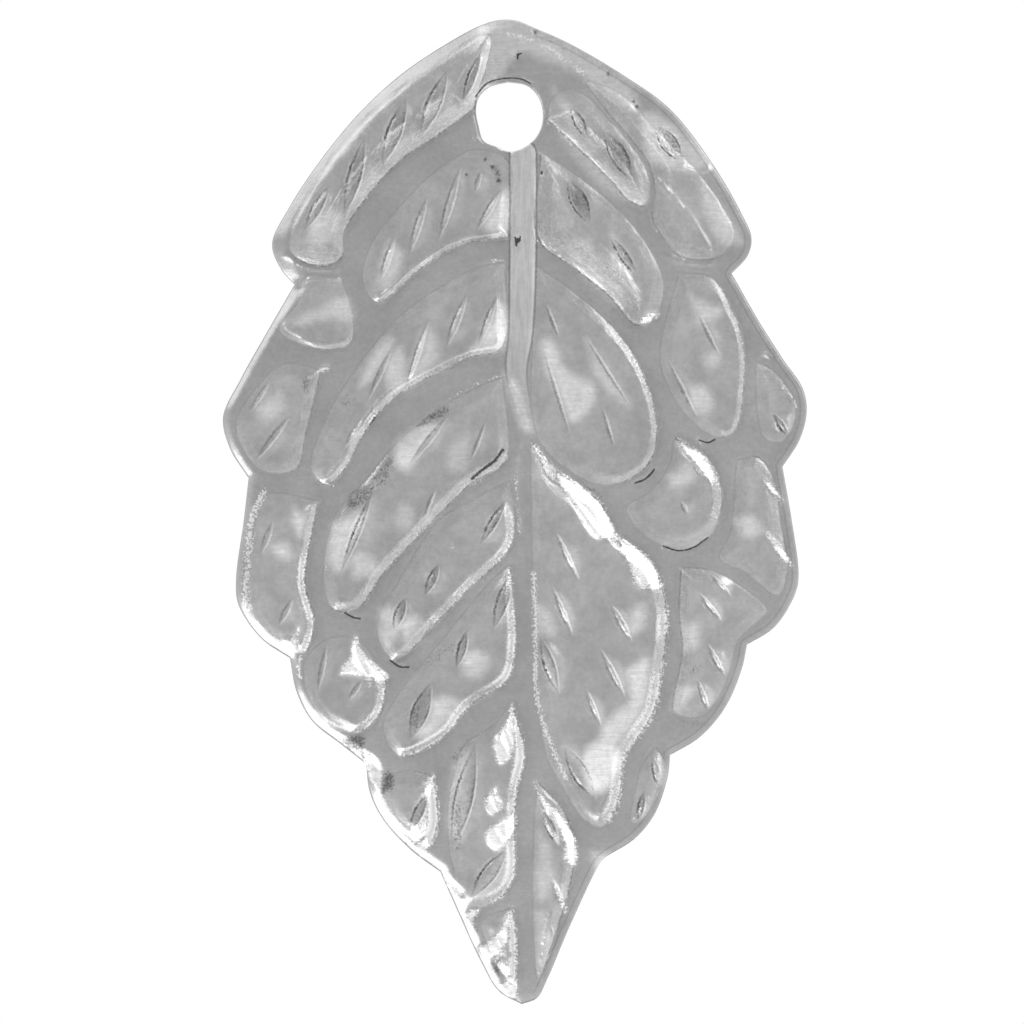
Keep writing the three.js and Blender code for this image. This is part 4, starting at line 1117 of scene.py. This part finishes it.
def platingGroup():
    # The plating's colour, roughness and fine height, from where a point lies and from the relief's masks.
    tree = bpy.data.node_groups.new("plating", "ShaderNodeTree")
    tree.interface.new_socket("Place", in_out="INPUT", socket_type="NodeSocketVector")
    for mask in plainMasks:
        tree.interface.new_socket(mask, in_out="INPUT", socket_type="NodeSocketFloat")
    tree.interface.new_socket("Color", in_out="OUTPUT", socket_type="NodeSocketColor")
    tree.interface.new_socket("Roughness", in_out="OUTPUT", socket_type="NodeSocketFloat")
    tree.interface.new_socket("Height", in_out="OUTPUT", socket_type="NodeSocketFloat")
    given = tree.nodes.new("NodeGroupInput").outputs
    place = given["Place"]

    def times(*values):
        result = values[0]
        for value in values[1:]:
            result = maths(tree, "MULTIPLY", result, value)
        return result

    def plus(first, second):
        return maths(tree, "ADD", first, second)

    def timesPlus(first, second, third):
        return maths(tree, "MULTIPLY_ADD", first, second, third)

    def around(wave, strength):
        # A noise's wave about 1, this strong.
        return timesPlus(wave, strength, timesPlus(strength, -0.5, 1.0))

    def step(value, low, high):
        inputs = {"Value": value, "From Min": low, "From Max": high}
        return addNode(tree, "MapRange", None, inputs).outputs[0]

    def waved(distance, wave, reach):
        # A distance whose place wavers by up to this much.
        return timesPlus(maths(tree, "SUBTRACT", wave, 0.5), reach, distance)

    def thinLine(distance, wave, kind):
        # A thin, wavering line where the distance is nought.
        width = finish[kind + "Width"]
        place = waved(distance, wave, finish[kind + "Waver"])
        return step(maths(tree, "ABSOLUTE", place), width, 0.4 * width)

    def alongFoot(lengthwise, crosswise, detail, roughness):
        # A noise that is drawn out along the leaflet's foot or across it.
        axes = {"X": times(given["along"], lengthwise), "Y": times(given["inside"], crosswise)}
        return noiseIn(tree, addNode(tree, "CombineXYZ", None, axes).outputs[0], 1.0, detail, roughness)

    def brushed(scale, turn=0.0):
        axes = {"Vector": place, "Rotation": (0, turn, 0), "Scale": scale}
        return noiseIn(tree, addNode(tree, "Mapping", None, axes).outputs[0], 1.0, 3.0, 0.6)

    clouding = noiseIn(tree, place, finish["cloudScale"], 3.0)
    mottle = noiseIn(tree, place, finish["mottleScale"], 3.0, 0.6)
    grain = noiseIn(tree, place, finish["grainScale"], 4.0, 0.7)
    specks = noiseIn(tree, place, finish["speckScale"], 2.0, 0.6)
    streaks = alongFoot(finish["streaksAlong"], finish["streaksAcross"], 3.0, 0.65)
    hairs = alongFoot(finish["hairsAlong"], finish["hairsAcross"], 2.0, 0.6)
    hatch = brushed(finish["scratchScale"], finish["scratchTurn"])
    drawn = brushed(finish["drawnScale"])

    # Slopes are streaked along the leaflet's foot. The ground between the leaflets gets a little painted
    # shade, most of all beside a lap, and a barb's face gets painted shade.
    slope = times(step(given["inside"], *finish["slopeFoot"]),
                  step(given["pastCrest"], *finish["slopeCrest"]), timesPlus(given["lapping"], 0.7, 0.3))
    rough = plus(slope, given["faceShare"])
    onGround = step(given["inside"], *finish["groundEdge"])
    onPad = maths(tree, "SUBTRACT", 1.0, onGround)
    besideLap = times(onGround, step(given["inside"], *finish["besideLap"]), given["lapping"])
    scratches = times(step(hatch, *finish["scratchRange"]), step(clouding, *finish["scratchPatches"]))
    shade = times(around(clouding, finish["cloudStrength"]), around(grain, finish["grainStrength"]),
                  around(streaks, times(slope, finish["streakStrength"])),
                  around(specks, times(rough, finish["speckStrength"])),
                  around(mottle, times(onPad, finish["mottleStrength"])))
    shade = timesPlus(onGround, -finish["groundShade"], shade)
    shade = timesPlus(besideLap, -finish["lapShade"], shade)
    shade = timesPlus(scratches, finish["scratchStrength"], shade)
    face = times(given["faceShare"], timesPlus(specks, 2.0, -0.4), finish["faceShade"])
    level = times(maths(tree, "SUBTRACT", shade, face), finish["colour"])
    # A painted sheen lies along the midrib, in the soft sheen patches and beside the barbs.
    midribPaintedSheen = times(step(given["fromMidrib"], 0.0, -0.03), given["midribShare"], finish["midribPaintedSheen"],
                        around(drawn, 1.6))
    paintedSheenShown = times(given["sheen"], around(grain, 0.8), around(hatch, 0.9))
    level = timesPlus(maths(tree, "MAXIMUM", paintedSheenShown, midribPaintedSheen), finish["paintedSheenGain"], level)
    plate = addNode(tree, "CombineColor", None, {"Red": level, "Green": level, "Blue": level}).outputs[0]

    # Crests are worn bright in two rows of broken specks, which also paints their highlight. The barbs'
    # ridges and the facets get painted highlights.
    flecks = timesPlus(plus(specks, hairs), 0.8, -0.3)
    past = waved(given["pastCrest"], flecks, finish["wornWaver"])
    fromMiddle = maths(tree, "ABSOLUTE", plus(given["pastCrest"], 0.5))
    wearAndHighlight = times(step(past, *finish["wornFrom"]), step(past, *finish["wornTo"]),
                 step(timesPlus(given["wear"], 0.35, flecks), *finish["wornRange"]),
                 timesPlus(step(fromMiddle, 0.0, 0.4), 0.75, 0.25), step(given["wear"], 0.0, 0.5))
    trim = step(timesPlus(given["trim"], 0.5, specks), *finish["trimRange"])
    trim = times(trim, step(given["trim"], 0.0, 0.2))
    wearAndHighlight = maths(tree, "MAXIMUM", wearAndHighlight, trim)
    plate = mixed(tree, times(wearAndHighlight, finish["wearAndHighlightShare"]), plate, grey(finish["wearAndHighlight"]))
    ridge = times(thinLine(given["fromRidge"], specks, "ridge"), given["ridgeShare"])
    plate = mixed(tree, times(ridge, finish["ridgeShare"]), plate, grey(finish["paintedHighlight"]))
    ragged = times(plus(specks, hatch), 0.5)
    hairy = times(step(hairs, *finish["facetHairRange"]), finish["facetHairs"])
    facet = step(waved(given["paintedGlint"], ragged, finish["facetWaver"]), *finish["facetRange"])
    facet = times(facet, maths(tree, "SUBTRACT", 1.0, hairy))
    plate = mixed(tree, facet, plate, grey(finish["paintedHighlight"]))

    # Painted shade and tarnish lie in the speckled places, and as thin lines in the seams at the leaflets'
    # feet, in the cracks beside the barbs, along the midrib and the rim, and in nicks and pits, where shade
    # falls.
    crackDark = times(thinLine(given["fromCrack"], specks, "crack"), given["crackShare"],
                      step(grain, *finish["crackRange"]))
    farShare = step(maths(tree, "SUBTRACT", given["crackShare"], given["ridgeShare"]), 0.05, 0.5)
    farDark = times(thinLine(plus(given["fromRidge"], finish["farCrackAside"]), specks, "crack"), farShare,
                    step(specks, *finish["farCrackRange"]))
    marks = (
        times(thinLine(given["inside"], specks, "seam"), timesPlus(given["lapping"], 0.5, 0.3),
              step(grain, *finish["seamRange"]), finish["seamShare"]),
        maths(tree, "MAXIMUM", crackDark, farDark),
        times(thinLine(given["fromMidrib"], specks, "seam"), given["midribShare"], finish["midribLineShare"]),
        times(given["pit"], finish["pitShare"]),
        times(thinLine(given["fromRim"], specks, "rim"), finish["rimLineShare"]),
        times(thinLine(given["fromNick"], specks, "nick"), finish["nickShare"]),
    )
    dark = step(waved(given["tarnish"], specks, finish["paintedShadeAndTarnishWaver"]), *finish["paintedShadeAndTarnishRange"])
    dark = times(dark, finish["paintedShadeAndTarnishShare"])
    for mark in marks:
        dark = maths(tree, "MAXIMUM", dark, mark)
    plate = mixed(tree, dark, plate, grey(finish["tarnish"]))

    roughness = timesPlus(facet, -0.06, timesPlus(grain, 0.1, finish["roughness"] - 0.05))
    height = times(streaks, slope, finish["streakHeight"])
    height = timesPlus(grain, finish["grainHeight"], height)
    height = timesPlus(times(specks, rough), finish["speckHeight"], height)
    made = tree.nodes.new("NodeGroupOutput")
    for name, value in (("Color", plate), ("Roughness", roughness), ("Height", height)):
        tree.links.new(value, made.inputs[name])
    return tree


def platedMetal():
    material, tree, shader = newMaterial("silverPlate")
    shader.inputs["Metallic"].default_value = 1
    place = addNode(tree, "TexCoord").outputs["Object"]
    inputs = {0: place, "Scale": 1 / millimetre}
    given = {"Place": addNode(tree, "VectorMath", {"operation": "SCALE"}, inputs).outputs[0]}
    for name in plainMasks:
        given[name] = addNode(tree, "Attribute", {"attribute_name": name}).outputs["Fac"]
    plating = addNode(tree, "Group", {"node_tree": platingGroup()}, given).outputs
    inputs = {"Height": plating["Height"], "Distance": millimetre, "Strength": 1.0}
    bump = addNode(tree, "Bump", None, inputs)
    tree.links.new(plating["Color"], shader.inputs["Base Color"])
    tree.links.new(plating["Roughness"], shader.inputs["Roughness"])
    tree.links.new(bump.outputs[0], shader.inputs["Normal"])
    return material


print("Plating the leaf")
leafPlate.data.materials.append(platedMetal())
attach(leafPlate, "root")
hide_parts("stamped_leaf")

# The studio, in metres.
studio = {
    "floorGap": 0.13,  # the floor lies this far below the tip, out of the lights' way
    "floorRadius": 0.12,
    "floorSides": 64,
    "floorColour": 0.9,
    "floorRoughness": 0.9,
    "floorWhiteness": 0.85,
    "lampAim": (0, 0, -0.0087),
    "lampDistance": 0.25,
    "worldStrength": 0.8,  # what lights the leaf beside the lamps; the camera and reflections see 1
    "tentAhead": 0.86,
    "tentRise": 0.8,
    "tentLean": (0.15, 0, -0.4),
    "tentRange": (0.55, 1.25),
    "lens": 200,
    "sensorWidth": 36,
    "clipRange": (0.01, 10),
    "imageSize": 1024,
    "holeAt": (510, 116),  # pixels across and down in the picture
    "pixelsToMetre": 45000,
}

# Each softbox: its turn clockwise from straight above as the front is seen, its tilt from the line to the
# camera, half its width and half its height as seen from the leaf, all in degrees, and its brightness.
softboxes = {
    "highRightBox": (50, 40, (12, 12), 1.8),
    "lowLeftBox": (225, 58, (22, 18), 2.2),
    "highLeftBox": (315, 62, (26, 18), 1.2),
}


def makeFloor():
    z = leafLow[2] * millimetre - studio["floorGap"]
    sides = studio["floorSides"]
    data = bpy.data.meshes.new("floor")
    corners = [(math.cos(a) * studio["floorRadius"], math.sin(a) * studio["floorRadius"], z)
               for a in np.linspace(0, 2 * math.pi, sides, endpoint=False)]
    data.from_pydata(corners, [], [list(range(sides))])
    floor = bpy.data.objects.new("floor", data)
    bpy.context.scene.collection.objects.link(floor)
    material, tree, shader = newMaterial("paleFloor")
    shader.inputs["Base Color"].default_value = grey(studio["floorColour"])
    shader.inputs["Roughness"].default_value = studio["floorRoughness"]
    # The camera sees it nearly white, with a little of its own shade and shadow.
    seen = addNode(tree, "LightPath").outputs["Is Camera Ray"]
    share = maths(tree, "MULTIPLY", seen, studio["floorWhiteness"])
    white = addNode(tree, "Emission").outputs[0]
    blend = addNode(tree, "MixShader", None, {0: share, 1: shader.outputs[0], 2: white})
    tree.links.new(blend.outputs[0], tree.nodes["Material Output"].inputs["Surface"])
    data.materials.append(material)


def makeWorld():
    world = bpy.data.worlds.new("studioWorld")
    world.use_nodes = True
    bpy.context.scene.world = world
    tree = world.node_tree
    path = addNode(tree, "LightPath").outputs
    seen = maths(tree, "MAXIMUM", path["Is Camera Ray"], path["Is Glossy Ray"])
    strengths = {"Value": seen, "To Min": studio["worldStrength"], "To Max": 1.0}
    strength = addNode(tree, "MapRange", None, strengths).outputs["Result"]
    direction = addNode(tree, "TexCoord").outputs["Generated"]

    def towards(way):
        node = addNode(tree, "VectorMath", {"operation": "DOT_PRODUCT"}, {0: direction, 1: way})
        return node.outputs["Value"]

    # Reflections find a tent that is dimmer round the camera and to the upper left, and brighter to the
    # lower right.
    ahead = maths(tree, "ABSOLUTE", towards((0, 1, 0)))
    aside = studio["tentAhead"] + studio["tentRise"]
    level = maths(tree, "MULTIPLY_ADD", ahead, -studio["tentRise"], aside)
    level = maths(tree, "ADD", level, towards(studio["tentLean"]))
    low, high = studio["tentRange"]
    level = addNode(tree, "Clamp", None, {"Value": level, "Min": low, "Max": high}).outputs[0]
    background = tree.nodes["Background"].inputs
    tree.links.new(mixed(tree, path["Is Glossy Ray"], grey(1), level), background["Color"])
    tree.links.new(strength, background["Strength"])


def makeSoftbox(name, turn, tilt, size, brightness):
    turn, tilt = math.radians(turn), math.radians(tilt)
    away = Vector((math.sin(turn) * math.sin(tilt), -math.cos(tilt), math.cos(turn) * math.sin(tilt)))
    data = bpy.data.lights.new(name, "AREA")
    data.shape = "ELLIPSE"
    data.size, data.size_y = (2 * studio["lampDistance"] * math.tan(math.radians(angle)) for angle in size)
    area = math.pi / 4 * data.size * data.size_y
    data.energy = brightness * math.pi * area
    lamp = bpy.data.objects.new(name, data)
    lamp.location = Vector(studio["lampAim"]) + studio["lampDistance"] * away
    lamp.rotation_euler = (-away).to_track_quat("-Z", "Y").to_euler()
    bpy.context.scene.collection.objects.link(lamp)
    lamp.visible_camera = False


def makeCamera():
    data = bpy.data.cameras.new("camera")
    data.lens = studio["lens"]
    data.sensor_width = studio["sensorWidth"]
    data.clip_start, data.clip_end = studio["clipRange"]
    camera = bpy.data.objects.new("camera", data)
    bpy.context.scene.collection.objects.link(camera)
    bpy.context.scene.camera = camera
    middle = studio["imageSize"] / 2
    frontFace = -sheetThickness / 2 * millimetre
    distance = middle / studio["pixelsToMetre"] / (data.sensor_width / 2 / data.lens)
    across, down = ((middle - pixel) / studio["pixelsToMetre"] for pixel in studio["holeAt"])
    camera.location = (across, frontFace - distance, -down)
    camera.rotation_euler = (math.pi / 2, 0, 0)


print("Setting up the studio")
makeFloor()
makeWorld()
makeCamera()
for name, box in softboxes.items():
    makeSoftbox(name, *box)
bpy.context.scene.view_settings.view_transform = "Standard"
